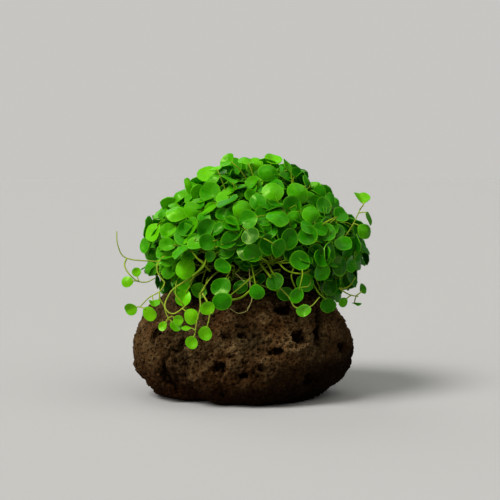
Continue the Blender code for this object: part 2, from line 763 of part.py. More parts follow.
def grow(shape, face, sections):
    """Draw a three-sided shoot out of a face, through one section after another."""
    for number, corners in enumerate(sections):
        old = [corner.co.copy() for corner in face.verts]
        if number == 0:
            twists = [corners[turn:] + corners[:turn] for turn in range(3)]
            corners = min(twists, key=lambda trial: sum((a - b).length for a, b in zip(trial, old)))
            shift = corners
        else:
            corners = [corners[order] for order in orders]
        face = bmesh.ops.extrude_discrete_faces(shape, faces=[face])["faces"][0]
        for corner, place in zip(face.verts, corners):
            corner.co = place
        if number == 0:
            orders = [sections[0].index(place) for place in shift]
    sides = [edge_face for edge_face in shape.faces if len(edge_face.verts) == 4]
    bmesh.ops.triangulate(shape, faces=sides)


def slot_for(shape, node, aim):
    """The free face of a stem that lies nearest to a node and looks towards aim, now taken."""
    direction = (aim - node).normalized()

    def misfit(face):
        away = (face.calc_center_median() - node).length
        turned = 1.0 - face.normal.dot(direction)
        return away + SLOT_TURN_COST * turned + (SLOT_BACK_COST if turned > SLOT_BACK_TURN else 0.0)

    face = min((face for face in shape.faces if face.tag), key=misfit)
    for edge in face.edges:
        twin = [other for other in edge.link_faces if other.normal.dot(face.normal) > SAME_WAY]
        for other in twin:
            other.tag = False
    face.tag = False
    return face


def open_slots(shape, faces=None):
    """Let shoots start from these faces."""
    for face in faces or shape.faces:
        face.tag = True


def grow_branch(shape, route):
    """A side branch: a thin three-sided shoot along a route that starts at the main stem."""
    face = slot_for(shape, route[0], route[1])
    before = set(shape.faces)
    sections = [root_section(face, (route[1] - route[0]).normalized(), UP)]
    for number in range(1, len(route)):
        ahead = (route[min(number + 1, len(route) - 1)] - route[number - 1]).normalized()
        sections.append(section(route[number], ahead, UP, BRANCH_RADIUS, BRANCH_KEEL))
    grow(shape, face, sections)
    shape.normal_update()
    open_slots(shape, [face for face in shape.faces if face not in before])


def grow_leaf(shape, leaf):
    """A leaf: its stalk, then a round blade with a shallow keel, broad from the stalk to a blunt tip."""
    heel = leaf.centre + leaf.base * leaf.radius
    face = slot_for(shape, leaf.node, heel)
    run = (heel - leaf.node).normalized()
    sections = [root_section(face, run, leaf.facing)]
    sections.append(section(heel - run * HEEL_STEP, run, leaf.facing, PETIOLE_RADIUS, STALK_KEEL))
    for reach, keel in BLADE_STATIONS:
        half_width = math.sqrt(1.0 - (1.0 - reach) ** 2) * leaf.radius
        place = heel - leaf.base * leaf.radius * reach
        sections.append(section(place, -leaf.base, leaf.facing, half_width, keel))
    grow(shape, face, sections)


def make_shoot(name, routes, leaves, radius, material, parts):
    """A stem with its side branches and leaves, all one solid."""
    shape = tube_shape(routes[0], radius, parts)
    open_slots(shape)
    for route in routes[1:]:
        grow_branch(shape, route)
    for leaf in leaves:
        grow_leaf(shape, leaf)
    add_object(name, mesh_from(shape, name), parts, material)


def build():
    """Make the whole object."""
    clear_scene()
    parts = new_collection("dichondra_on_rock", True)
    cutters = new_collection("cutters", False)
    make_rock(parts, cutters)
    make_crown(parts, cutters)
    runners, stems = plan_plant()
    leaf_green = new_material("leaf")
    runner_green = new_material("runner")
    for number, stem in enumerate(stems, 1):
        name = f"sprig_{number:02d}"
        make_shoot(name, [stem.points], stem.leaves, STEM_RADIUS, leaf_green, parts)
    for name, (routes, leaves) in runners.items():
        make_shoot(name, routes, leaves, BRANCH_RADIUS, runner_green, parts)


build()
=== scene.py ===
"""The looks of dichondra grown over a lump of lava rock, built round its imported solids.

Everything is in metres in the part's own frame: +Z is up, -Y is the front, and the stone rests on Z = 0.
Each sprig and runner is grown again where its solid is, with real blades, curved stalks and many more
leaves. The stone is roughened, and the crown becomes a tangle of creeping stems and roots.
"""

import math
import random
from collections import namedtuple

import bpy
import numpy as np
from mathutils import Matrix, Vector, noise
from mathutils.bvhtree import BVHTree
from mathutils.kdtree import KDTree


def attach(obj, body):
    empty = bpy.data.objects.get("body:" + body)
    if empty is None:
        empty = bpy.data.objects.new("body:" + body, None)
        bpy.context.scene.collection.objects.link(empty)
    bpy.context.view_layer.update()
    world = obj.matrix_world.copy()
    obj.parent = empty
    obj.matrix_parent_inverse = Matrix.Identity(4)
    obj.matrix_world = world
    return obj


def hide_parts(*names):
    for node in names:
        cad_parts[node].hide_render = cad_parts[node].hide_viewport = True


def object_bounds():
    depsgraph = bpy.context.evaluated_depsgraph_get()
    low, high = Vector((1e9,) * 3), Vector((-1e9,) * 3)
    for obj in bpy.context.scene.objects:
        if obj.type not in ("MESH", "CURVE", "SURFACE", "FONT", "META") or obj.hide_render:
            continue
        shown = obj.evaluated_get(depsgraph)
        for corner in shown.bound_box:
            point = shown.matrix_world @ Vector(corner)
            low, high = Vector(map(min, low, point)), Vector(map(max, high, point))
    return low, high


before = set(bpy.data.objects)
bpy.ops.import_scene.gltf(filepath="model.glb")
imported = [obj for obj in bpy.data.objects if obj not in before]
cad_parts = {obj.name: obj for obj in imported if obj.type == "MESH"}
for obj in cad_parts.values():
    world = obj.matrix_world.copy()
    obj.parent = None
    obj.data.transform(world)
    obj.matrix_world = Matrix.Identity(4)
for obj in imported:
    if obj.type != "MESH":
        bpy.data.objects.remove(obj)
CAD_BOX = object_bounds()

MM = 0.001
UP = Vector((0.0, 0.0, 1.0))

# What each stage draws its luck from
SPREAD_SEED = 7
FILLER_SEED = 11
SHOOT_SEED = 29
PORE_SEED = 5
CROWN_SEED = 3

# The stone's bun, the crown and the dome, as the part has them
GAP = 0.3 * MM
ROCK_HALF_WIDTH = 50.0 * MM
ROCK_HALF_DEPTH = 38.5 * MM
ROCK_WAIST = 20.5 * MM
ROCK_CAP = 35.0 * MM
ROCK_KEEL = 28.0 * MM
ROCK_FULLNESS = 2.02
ROCK_CLEARANCE = 2.4 * MM
CROWN_PLACE = Vector((4.0, 0.0, 54.5)) * MM
CROWN_SIZE = Vector((19.0, 17.0, 7.5)) * MM
CROWN_LEAN = 0.5
DOME_PLACE = Vector((5.5, 0.0, 70.0)) * MM
DOME_HALF_WIDTH = 52.0 * MM
DOME_HALF_DEPTH = 46.0 * MM
DOME_RISE = 39.5 * MM
DOME_DROP = 26.0 * MM
DOME_RISE_POWER = 1.6
DOME_DROP_POWER = 3.0
EYE = Vector((3.4, -552.0, 104.0)) * MM

# The stems and the leaves of the part's plan
STEM_COUNT = 30
STEM_RADIUS = 0.65 * MM
STEM_TAPER = 0.6
STEM_SINK = 11.0 * MM
STEM_LAST_ANGLE = 120.0
STEM_LEAVE = 0.4
STEM_ARRIVE = 0.35
STEM_RISING = 0.4
STEM_CLEARANCE = 1.9 * MM
BEAD_SPACING = 1.5 * MM
BEAD_RINGS = ((0.5, 6), (1.0, 12))
FOOT_SWINGS = (0.0, 9.0, -9.0, 18.0, -18.0, 27.0, -27.0)
# The shares of a stem's route at which it has points, closer together where its leaves grow
STEM_STEPS = (0.0, 0.4, 0.68, 0.79, 0.9, 1.0)
LEAF_TRIES = 18
MOST_LEAVES = 6
NODE_STEP = 0.8 * MM
NODE_SPACING = 1.3 * MM
LEAFY_FROM = 0.62
SHORTEST_STALK = 2.2 * MM
LEAF_CLEARANCE = 1.8 * MM
SIBLING_CLEARANCE = 1.3 * MM
STALK_FREE = 2.5 * MM
RUNNER_RISE = 2.5 * MM
FIRST_RUNNER = 1000
VIEW_STEP = 0.5
VIEW_STEPS = (-100, 61)
FRONT_SINKS = (3.0, 1.0, 5.0, -1.0, 7.0, -3.0, 9.5, -5.5, 12.0, -8.0, 15.0)
STEMS_TRIED = 3
SPIRAL_TURN = 2.4
SPIRAL_SWAY = 0.3
SPIRAL_START = 2.0 * MM
SPIRAL_OPENING = 3.6 * MM
SPREAD_SINKS = (2.0 * MM, 6.5 * MM)
SPREAD_SIZES = (3.5 * MM, 4.7 * MM)
SPREAD_LIFT = 0.35
SPREAD_SWAY = 0.42
SPREAD_START = 0.4

# Leaves seen from the front: how far right and how high they show, radius, then the turn to the right and
# the tilt upwards of their upper face, in millimetres and degrees
FRONT_LEAVES = (
    (-5.0, 105.5, 4.6, -5, 12), (-7.5, 109.0, 3.5, -20, 45), (-12.0, 105.0, 3.6, -60, 68),
    (-13.5, 99.5, 4.2, -25, 40), (-15.0, 94.0, 4.8, -10, 15), (-25.0, 97.0, 3.6, 62, 20),
    (-29.0, 92.0, 4.4, -35, 25), (-31.5, 88.0, 3.0, 10, 72), (-37.5, 84.0, 3.6, -35, 15),
    (-30.5, 83.5, 4.6, -10, 50), (-22.5, 85.5, 4.4, 32, 22), (-9.5, 84.0, 2.8, 0, 25),
    (-41.5, 75.5, 4.6, -30, 28), (-34.5, 76.5, 4.0, 5, 35), (-26.0, 77.5, 4.0, 12, 8),
    (-5.5, 78.5, 4.2, -25, 5), (-45.5, 69.5, 3.6, -35, 10), (-35.0, 70.0, 3.4, 0, 22),
    (-21.0, 70.5, 4.2, -20, 40), (-16.5, 71.0, 3.8, 30, 12), (-5.5, 71.5, 4.2, -12, 0),
    (-15.0, 64.5, 2.4, -10, 0), (-9.5, 59.5, 3.6, 20, 35), (-42.5, 58.5, 3.4, -30, 5),
    (-34.0, 57.5, 3.6, -20, 15), (-26.5, 58.5, 4.4, 0, 12), (-27.5, 52.5, 4.2, -8, 0),
    (-27.5, 45.0, 3.4, 0, 15), (-20.2, 48.5, 3.3, 15, 5), (-10.0, 50.0, 4.6, -10, 12),
    (-9.5, 43.5, 4.2, 10, 5), (7.5, 53.0, 3.2, 0, 45), (6.6, 47.8, 3.3, 0, 5),
    (-1.0, 50.2, 3.4, -10, 0), (1.0, 108.8, 3.6, 0, 60), (5.5, 106.0, 4.3, 8, 15),
    (14.0, 109.0, 4.4, 20, 62), (20.5, 106.0, 3.5, 62, 30), (12.0, 102.5, 4.6, 5, 8),
    (20.5, 100.5, 4.5, 35, 45), (14.0, 94.5, 4.8, 10, 30), (7.0, 89.5, 3.7, -8, 22),
    (25.5, 93.5, 4.8, 18, 20), (22.5, 88.0, 4.5, 25, 5), (29.5, 98.0, 4.2, 76, 5),
    (35.5, 94.0, 3.2, 15, -8), (42.5, 89.0, 2.9, 20, 10), (45.0, 83.5, 3.8, 30, 28),
    (37.5, 88.0, 4.0, 40, 30), (2.5, 81.5, 4.2, -20, 12), (16.0, 81.5, 5.0, 20, 28),
    (10.0, 77.5, 3.4, -10, 8), (23.5, 81.5, 3.8, 15, -5), (30.0, 74.0, 4.2, 10, 2),
    (35.5, 76.5, 3.4, 25, 20), (22.0, 72.5, 4.6, 12, 0), (34.0, 66.0, 3.9, 15, 0),
    (46.5, 70.0, 4.1, 20, 22), (4.5, 66.0, 4.0, -5, 8), (17.5, 68.0, 4.2, 30, -5),
    (26.5, 62.5, 4.2, 10, 0), (53.5, 62.5, 4.5, 58, 10), (45.0, 60.0, 4.2, 30, 0),
    (36.5, 57.0, 4.0, 20, 5), (15.0, 52.5, 3.7, 0, 12), (19.8, 47.0, 3.6, 10, 0),
    (25.0, 46.0, 3.3, 10, -5), (29.0, 52.0, 4.0, 18, 0), (40.0, 50.0, 3.8, 25, 5),
    (39.2, 41.5, 3.4, 25, 5), (44.4, 46.5, 3.5, 50, 0),
)

# Runners: routes and leaves as they show from the front, each point how far right, how high and how far
# behind the stone's middle it is. The first point of a route says where on the crown it starts.
RUNNERS = {
    "runner_left": {
        "start": (-90, 66),
        "routes": (
            ((-30, 61, -16), (-39, 62, -18), (-53.5, 63.5, -19), (-57.5, 69.5, -20), (-58, 76, -19)),
            ((-53.5, 63.5, -19), (-54.5, 60.5, -20), (-53, 57, -21), (-49, 53.2, -21), (-44.5, 52.5, -20),
             (-40.5, 54.3, -18)),
        ),
        "leaves": ((-53.4, 52.6, -22, 2.6, -15, 10), (-48.9, 56.4, -19, 2.2, 0, 25)),
    },
    "runner_front_left": {
        "start": (-48, 62),
        "routes": (
            ((-24, 61, -21), (-34, 65, -27), (-38.5, 62, -29), (-39.5, 58, -30), (-37.5, 54, -31),
             (-36, 52, -31.5), (-38.5, 48, -32), (-43, 45.5, -31), (-47.5, 41, -30)),
            ((-38.5, 48, -32), (-38.2, 44.5, -33), (-36.5, 41.8, -33.5), (-35.5, 38.3, -34),
             (-34, 35, -34)),
        ),
        "leaves": ((-50.6, 40.3, -30, 2.7, -8, 5), (-44, 38.8, -31, 3.2, 5, 10), (-41, 43, -34, 2.5, 0, 62),
                   (-37, 32.2, -34.5, 2.1, -10, 25), (-32, 33.3, -35, 2.7, -10, 25),
                   (-29.8, 34.6, -37.5, 2.3, 20, 30)),
    },
    "runner_loop": {
        "start": (-62, 66),
        "routes": (
            ((-19, 57, -24), (-31, 50, -31), (-34.6, 45.5, -33), (-36, 41.5, -37), (-34.5, 38.6, -38),
             (-32, 37.8, -38), (-29.5, 39, -38), (-26.5, 41.5, -37)),
        ),
        "leaves": ((-24.5, 37.2, -38, 3.2, 0, 5),),
    },
    "runner_hanging": {
        "start": (-28, 66),
        "routes": (
            ((-12, 57, -29), (-19, 48, -37), (-19.6, 40.5, -40), (-21.2, 34.5, -41), (-22, 28.5, -41)),
            ((-19, 48, -37), (-15.5, 41.5, -40), (-15.3, 37.5, -41), (-16, 33, -41)),
        ),
        "leaves": ((-23.3, 25.4, -41, 2.7, -5, 5), (-25.2, 31.2, -40.5, 2.1, 0, 60),
                   (-16.4, 40.4, -45.5, 2.9, 5, 5), (-17, 30, -41, 2.9, 5, 12)),
    },
    "runner_right_front": {
        "start": (42, 66),
        "routes": (
            ((12, 56, -26), (21, 46, -37), (24, 41, -38.5), (28, 40.5, -39), (32, 41.5, -37.5),
             (35.5, 45.5, -34)),
        ),
        "leaves": ((28.2, 39.6, -43.5, 2.9, 5, 50), (25.0, 46.2, -39.5, 2.4, -10, 10)),
    },
    "runner_right": {
        "start": (88, 66),
        "routes": (
            ((32, 57, -14), (44, 50, -17), (49, 50.5, -16), (52, 54.5, -15)),
            ((44, 50, -17), (49, 46.8, -18), (53.5, 45.8, -18)),
        ),
        "leaves": ((55.8, 49.5, -15.5, 2.4, 40, 20), (52.6, 42.8, -18.5, 2.2, 30, 60),
                   (46.4, 43, -19.5, 2.3, 15, 10)),
    },
    "runner_upper_right": {
        "start": (80, 40),
        "routes": (
            ((30, 66, -10), (42, 69, -13), (47, 73.5, -14), (51, 79.5, -13), (54, 86, -12)),
        ),
        "leaves": ((54.3, 89.6, -12, 3.6, 35, 55), (57.6, 82, -12.5, 3.3, 62, 12),
                   (55, 76.5, -13, 3.8, 40, 20)),
    },
    "runner_back": {
        "start": (168, 66),
        "routes": (
            ((10, 58, 24), (20, 54, 36), (27, 46, 41), (31, 37, 42), (30, 31, 42.5)),
            ((20, 54, 36), (14, 49, 42), (9, 43, 43.5)),
        ),
        "leaves": ((33.5, 41, 43.5, 2.9, 170, 10), (28, 27.5, 43, 2.8, 185, 8),
                   (34.5, 33, 43.5, 2.3, 165, 40), (6, 40.5, 44, 2.8, 190, 10), (15, 44, 45, 2.4, 178, 50)),
    },
}

# The leaves between the main ones. Each layer: how many places are tried, the band of the dome that it fills
# in degrees from the top, then in millimetres how deep its leaves sit under the skin at least and at most,
# their smallest and largest radius, and how far they keep from other leaves
FILLER_LAYERS = (
    (700, 0.0, 112.0, 0.8, 4.5, 3.8, 5.4, 1.0),
    (900, 0.0, 118.0, 3.0, 9.0, 3.8, 5.2, 0.6),
    (900, 0.0, 118.0, 6.0, 14.0, 3.4, 4.8, 0.5),
    (300, 0.0, 125.0, 14.0, 22.0, 3.4, 4.6, 0.6),
    (1300, 98.0, 142.0, 0.5, 20.0, 2.8, 4.0, 0.45),
)
FILLER_OFF_ROCK = 0.8 * MM
HIDING_REACH = 0.78
HIDING_BEHIND = 5.0 * MM
FILLER_TRIES = 10
FILLER_SWAY = 0.10
FILLER_LIFT = 0.45
FILLER_LEAN = 0.55
# Where the dark and the bare stems under the dome show from the front: left, right and top, in millimetres
OPENINGS = (
    (-22.0, -14.0, 64.0), (-14.0, -3.0, 62.0), (-3.0, 9.0, 58.0),
    (9.0, 20.0, 64.0), (20.0, 28.0, 58.0), (28.0, 36.0, 54.0),
)
# Leaves that close the holes through the dome: how far right, how high and how far behind the stone's middle
# they show, and their radius, in millimetres
BACK_LEAVES = (
    (-22.0, 51.5, 6.0, 4.6), (-27.0, 52.5, 8.0, 4.6), (-16.0, 52.5, 12.0, 4.6), (40.0, 46.5, 4.0, 4.4),
    (49.0, 53.0, -3.0, 3.8), (-32.5, 87.5, 8.0, 4.2), (-41.0, 65.0, -2.0, 3.8), (15.5, 105.0, 5.0, 4.6),
    (9.0, 104.5, 6.0, 4.6), (22.5, 103.0, 6.0, 4.4), (31.5, 96.0, 8.0, 4.4), (50.5, 66.0, -4.0, 4.2),
)
BACK_TILT = 20.0
# A few more of them, placed last, where the sky would show through
LAST_LEAVES = (
    (1.4, 103.9, 3.0, 4.0), (33.9, 47.8, 6.0, 4.2), (46.9, 75.5, 4.0, 3.8), (-35.0, 50.5, 6.0, 4.2),
    (-27.7, 89.6, 4.0, 4.0),
)

# Blades, in half widths: how many sides their circle has, how wide the rings inside its edge are, and each
# form's name, how deep it is cupped and how steeply its halves fold up
LARGE_BLADES = (16, (0.16, 0.38), (
    ("cupped_blade", 0.40, 0.0),
    ("open_blade", 0.22, 0.04),
    ("reflexed_blade", -0.34, -0.06),
    ("drooping_blade", -0.22, -0.16),
    ("folded_blade", 0.12, 0.28),
))
SMALL_BLADES = (12, (0.42,), (
    ("small_cupped_blade", 0.30, 0.0),
    ("small_open_blade", 0.14, 0.08),
    ("small_reflexed_blade", -0.24, -0.04),
    ("small_folded_blade", 0.10, 0.34),
))
BLADE_THICKNESS = 0.055
HEEL_POINT = 0.14
TIP_BLUNTNESS = 0.05
BLADE_SAG = 0.06
BLADE_UNEVEN = 0.06
BLADE_WAVE = 0.07
# Where a blade is pulled into shape: the spot, how near to it corners are taken, how far the pull is felt
CUP_PULL = ((0.0, 0.0), 0.2, 1.05)
HEEL_PULL = ((0.0, -1.0), 0.1, 0.7)
TIP_PULL = ((0.0, 1.0), 0.1, 0.6)
SMOOTH_ANGLE = 60.0
UV_SHARE = 0.4
UV_HEEL = 0.08
# How much one leaf's width and cupping differ from the next one's, and where round its rim the unevenness
# starts, in radians
BLADE_WIDTHS = (0.88, 1.08)
BLADE_CUPS = (0.6, 1.5)
WAVE_STARTS = (0.0, 6.3)
# Main and small leaves: their stalks' thickness at the foot and under the blade as shares of the radius, and
# how far their blades lean by luck, in radians
MAIN_GROWTH = (1.0, 0.8, 0.12)
SMALL_GROWTH = (0.8, 0.65, 0.28)
STALK_RADIUS = 0.32 * MM
RUNNER_RADIUS = 0.40 * MM
# A stalk's handles and how far it rises, as shares of its span, and how far it runs on under its blade
STALK_LEAVE = 0.3
STALK_LIFT = 0.06
STALK_ARRIVE = 0.3
STALK_TUCK = 0.2
STALK_UNDER = 0.05
STALK_STEPS = (0.0, 0.25, 0.5, 0.75, 1.0)
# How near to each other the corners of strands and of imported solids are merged
STRAND_WELD = 0.01 * MM
SOLID_WELD = 0.02 * MM
# How light a leaf's green is on the dome's skin at its middle height, the painted shade that each millimetre
# deeper or to the right adds, the painted light that each millimetre higher adds, and the most that luck does
TONE_START = 0.52
PAINTED_SHADE_DEEPER = 0.015
PAINTED_LIGHT_HIGHER = 0.007
PAINTED_SHADE_RIGHTWARD = 0.0045
TONE_LUCK = 0.24
# Painted shade in the middle of the front, under the overhang, and painted light low on the left: across, up,
# reach, how much
PAINTED_SHADE_AND_LIGHT_PARTS = ((6.0, 73.0, 24.0, -0.32), (-28.0, 54.0, 18.0, 0.40))

# The stone's skin
STONE_VOXEL = 0.58 * MM
STONE_SMOOTHING = 6
# Each row of pores: how many, smallest and largest radius in millimetres, and depth as a share of the radius
PORES = ((30, 1.5, 2.4, 0.6), (420, 0.8, 1.5, 0.75), (2000, 0.45, 0.85, 0.85))
PORE_RAGGED = 1.4 * MM
PORE_WAVER = 0.7
# How far off the surface a pore's middle lies in millimetres, its stretch, and how many radii it reaches
PORE_SHIFT = 0.3
PORE_STRETCH = ((0.8, 1.3), (0.8, 1.3), (0.9, 1.2))
PORE_REACH = 1.4
# Lumps, ridges and fine relief: how wide, how high, and the settings of their noise
COARSE_GRAIN = 9.0 * MM
COARSE_HEIGHT = 0.8 * MM
COARSE_NOISE = (1.0, 2.1, 3)
RIDGE_GRAIN = 3.2 * MM
RIDGE_HEIGHT = 0.5 * MM
RIDGE_NOISE = (0.9, 2.2, 3, 1.0, 2.0)
RIDGE_MIDDLE = 1.2
FINE_GRAIN = 1.3 * MM
FINE_HEIGHT = 0.5 * MM
FINE_NOISE = (0.8, 2.0, 2)
STONE_SWELL = 0.5 * MM
GRAIN_SIZE = 2.4 * MM
GRAIN_HEIGHT = 0.5 * MM
GRAIN_SHARPNESS = 3.0
BASE_FADE = 2.0 * MM
STONE_PROUD = 1.6 * MM
# How far round a place its relief is averaged, one place in so many, and how much of its difference goes into
# the relief that paints shade in hollows and light on crests
CAVITY_REACH = 8.0 * MM
CAVITY_STEP = 20
CAVITY_SHARE = 0.75
# The stone's lower part is a deeper red, darkened by painted shade, and its underside is painted shade nearly
# black, higher up towards the right
FOOT_RISE = (5.0 * MM, 30.0 * MM)
FOOT_STRENGTH = 0.95
UNDERSIDE = (-2.0 * MM, 18.0 * MM)
UNDERSIDE_LEAN = 0.42
STONE_SHEEN = (1.0, 0.62, 0.30)
# Creases and ridges of the stone's front. Each row: depth, below 0 for a ridge, half width, and the route as
# far right and as high as it shows from the front, in millimetres like the waver of the routes
CREASE_GRAIN = 3.0 * MM
CREASE_WAVER = 1.8
CREASE_SHIFT = 50.0
CREASES = (
    (1.6, 1.9, ((-27.1, 25.1), (-29.4, 20.5), (-35.2, 18.0), (-37.3, 13.8), (-36.8, 8.2), (-31.2, 2.5))),
    (1.0, 2.0, ((-10.2, 18.0), (-6.0, 17.3), (-2.5, 15.2), (3.2, 14.5))),
    (0.9, 3.2, ((16.5, 21.5), (20.0, 19.0), (22.5, 15.5))),
    (0.8, 1.6, ((6.0, 17.6), (9.5, 18.8))),
    (1.4, 2.2, ((34.5, 39.8), (35.5, 34.9), (33.8, 28.6), (35.5, 24.4))),
    (1.5, 1.8, ((-40.8, 30.0), (-41.9, 26.5), (-41.2, 24.4))),
    (1.1, 1.6, ((-34.2, 25.8), (-32.0, 22.2))),
    (1.0, 1.5, ((-25.4, 16.6), (-26.4, 14.5))),
    (1.0, 1.3, ((-2.5, 32.1), (-0.4, 31.7))),
    (1.0, 1.3, ((5.3, 32.1), (6.7, 30.7))),
    (0.9, 1.5, ((13.7, 33.5), (17.6, 32.4))),
    (1.1, 1.8, ((29.2, 6.0), (34.8, 7.5))),
    (-1.3, 2.6, ((-18.0, 9.6), (-16.6, 14.5), (-12.3, 19.4), (-6.0, 20.8), (0.3, 22.2))),
    (-1.3, 1.9, ((-32.6, 18.7), (-33.6, 13.1), (-32.0, 8.9))),
    (-1.0, 2.0, ((-28.5, 6.7), (-22.2, 7.5), (-18.7, 9.6))),
    (-1.0, 2.4, ((10.2, 26.5), (15.8, 27.2))),
)

# The crown
CROWN_VOXEL = 0.9 * MM
CROWN_GRAIN = 3.0 * MM
CROWN_BUMP = 0.6 * MM
CROWN_NOISE = (1.0, 2.0, 3)
STRAND_PIECES = 3
# Stems that creep round the crown: their first lean from the top in degrees, how far off the crown a step is
# in millimetres, and how far the next one goes round and down in radians
CREEPER_COUNT = 60
CREEPER_STEPS = 7
CREEPER_RADIUS = 0.55 * MM
CREEPER_TAPER = 0.8
CREEPER_LEANS = (20.0, 85.0)
CREEPER_LIFTS = (-0.2, 0.7)
CREEPER_TURNS = (0.1, 0.35)
CREEPER_SINKS = (-0.2, 0.24)
CREEPER_LIMITS = (0.2, 1.5)
# Roots that run out over the stone: where they start and how far a step goes, as shares of the crown's size,
# how far off the stone they are in millimetres, and how far they turn in radians
ROOT_COUNT = 26
ROOT_STEPS = 8
ROOT_RADIUS = 0.4 * MM
ROOT_TAPER = 0.4
ROOT_START = 0.62
ROOT_STRIDE = 0.09
ROOT_LIFTS = (0.1, 0.6)
ROOT_SWAYS = (-0.2, 0.2)
ROOT_TURNS = (-0.16, 0.16)
# A height above the whole plant, in metres
ABOVE_ALL = 0.2

# Strands under the dome's front: radius at each end, then points as far right, as high and as far behind the
# stone's middle as they show from the front
BARE_STEMS = (
    (0.38, 0.30, ((-24.5, 68.5, -28), (-21.5, 64.0, -36), (-18.0, 61.0, -38), (-21.5, 56.5, -37),
                  (-24.5, 52.0, -32))),
    (0.36, 0.30, ((-16.0, 55.0, -28), (-17.6, 49.6, -36), (-20.0, 46.5, -38), (-19.0, 42.0, -36))),
    (0.36, 0.30, ((-30.5, 53.0, -28), (-31.0, 47.0, -34), (-28.5, 43.5, -37), (-26.0, 40.0, -36))),
    (0.42, 0.32, ((12.5, 66.0, -26), (16.5, 61.5, -36), (21.0, 57.5, -39), (27.5, 56.5, -39),
                  (32.0, 58.5, -33))),
    (0.38, 0.30, ((20.5, 64.5, -28), (23.5, 60.0, -37), (22.5, 55.0, -39), (24.5, 49.5, -37))),
    (0.38, 0.30, ((30.0, 56.0, -28), (33.5, 50.0, -33), (35.5, 47.0, -34), (38.5, 44.5, -31))),
    (0.34, 0.28, ((24.0, 48.5, -34), (27.4, 50.0, -38), (30.6, 50.7, -38), (31.6, 54.0, -34))),
    (0.42, 0.34, ((6.0, 66.0, -30), (10.5, 63.0, -36), (13.5, 57.5, -39), (16.5, 53.5, -38))),
    (0.40, 0.32, ((35.0, 76.0, -26), (37.5, 79.5, -33), (41.0, 81.5, -33), (43.5, 82.5, -29))),
    (0.55, 0.45, ((-5.0, 44.2, -36), (-1.0, 45.2, -37), (3.1, 48.3, -37), (7.0, 53.0, -34))),
    (0.40, 0.30, ((-12.9, 51.8, -31), (-8.5, 53.6, -33), (-6.0, 57.0, -35), (-5.3, 60.2, -36))),
    (0.50, 0.42, ((-23.0, 55.4, -38), (-21.7, 56.4, -39), (-18.2, 59.4, -39), (-16.5, 64.0, -36))),
    (0.40, 0.35, ((-24.0, 67.9, -36), (-21.0, 63.6, -38), (-17.8, 60.6, -38), (-15.0, 57.5, -36))),
    (0.60, 0.50, ((7.5, 62.3, -35), (10.0, 58.6, -38), (13.1, 54.5, -39.5))),
)
ROOT_THREADS = (
    (0.16, 0.12, ((-5.8, 40.2, -36.5), (-3.4, 38.6, -37.5), (-1.3, 38.0, -38), (2.3, 39.5, -37.5),
                  (4.2, 44.6, -36.5), (3.5, 48.3, -36), (3.0, 53.0, -35))),
    (0.20, 0.16, ((3.0, 58.8, -36), (3.5, 52.2, -37), (4.4, 44.7, -37), (2.1, 39.8, -38))),
    (0.20, 0.16, ((-3.4, 56.5, -36), (-1.6, 55.0, -37), (2.5, 50.8, -37))),
)

# Colours
LEAF_GREENS = ((0.0, (0.005, 0.100, 0.0003)), (0.5, (0.028, 0.300, 0.0004)), (1.0, (0.155, 0.620, 0.0008)))
RUNNER_GREENS = ((0.0, (0.030, 0.210, 0.001)), (0.5, (0.080, 0.380, 0.001)), (1.0, (0.180, 0.560, 0.002)))
# The pale green of the marks: a painted highlight on the rim, and the own paleness of the midrib and veins
PALE_GREEN = (0.180, 0.580, 0.010)
GLOSS_TINT = (0.65, 1.0, 0.22)
# Patches: what part of the noise they use, how many go to a metre, and how much they change gloss and green
PATCH_EDGES = (0.32, 0.68)
LEAF_PATCHES = 420.0
STEM_PATCHES = (160.0, 1500.0)
PATCH_GLOSS = 0.15
LEAF_MOTTLE = 0.16
# A blade's marks in half widths: its rim, a painted highlight along the edge, its midrib's half width and
# end, and its veins, which spread from a point behind the heel and fade towards the rim
RIM_HIGHLIGHT_EDGES = (0.84, 0.97)
MIDRIB_WIDTH = (0.0, 0.06)
MIDRIB_END = (1.2, 1.8)
VEIN_ORIGIN = 0.25
VEIN_RATE = 6.5
VEIN_WIDTH = (0.0, 0.35)
VEIN_FADE = (0.5, 0.95)
# How pale the marks are, the rim's paleness being a painted highlight, and how far they and the patches stand
# out
MARK_SHARES = (("RimHighlight", 0.42), ("Midrib", 0.12), ("Veins", 0.06))
MARK_HEIGHTS = (("Midrib", -0.5), ("Veins", -0.25))
PATCH_HEIGHT = 0.3
# The relief in each surface: its strength and its full height. Then how much a surface shines
LEAF_BUMP = (0.35, 0.15 * MM)
STEM_BUMP = (0.4, 0.1 * MM)
STONE_BUMP = (1.0, 0.6 * MM)
LEAF_SHINE = 0.40
STEM_SHINE = 0.2
STONE_SHINE = 0.08
LEAF_ROUGHNESS = 0.24
LEAF_THROUGH = 0.38
# Stems and roots: the look's name, its material's, its young and its old colour, and its roughness
STEM_LOOKS = (
    ("leaf_stem", "green_stem", (0.17, 0.27, 0.008), (0.07, 0.13, 0.005), 0.55),
    ("runner_stem", "runner_stem", (0.30, 0.38, 0.03), (0.16, 0.25, 0.02), 0.5),
    ("root", "creeping_stem", (0.045, 0.060, 0.010), (0.022, 0.022, 0.006), 0.7),
    # The crown's core: nearly black, painted shade of the tangle's depths
    ("root_core", "crown_core", (0.008, 0.012, 0.003), (0.004, 0.004, 0.002), 0.9),
    ("pale_root", "pale_root", (0.27, 0.25, 0.08), (0.17, 0.15, 0.05), 0.55),
)
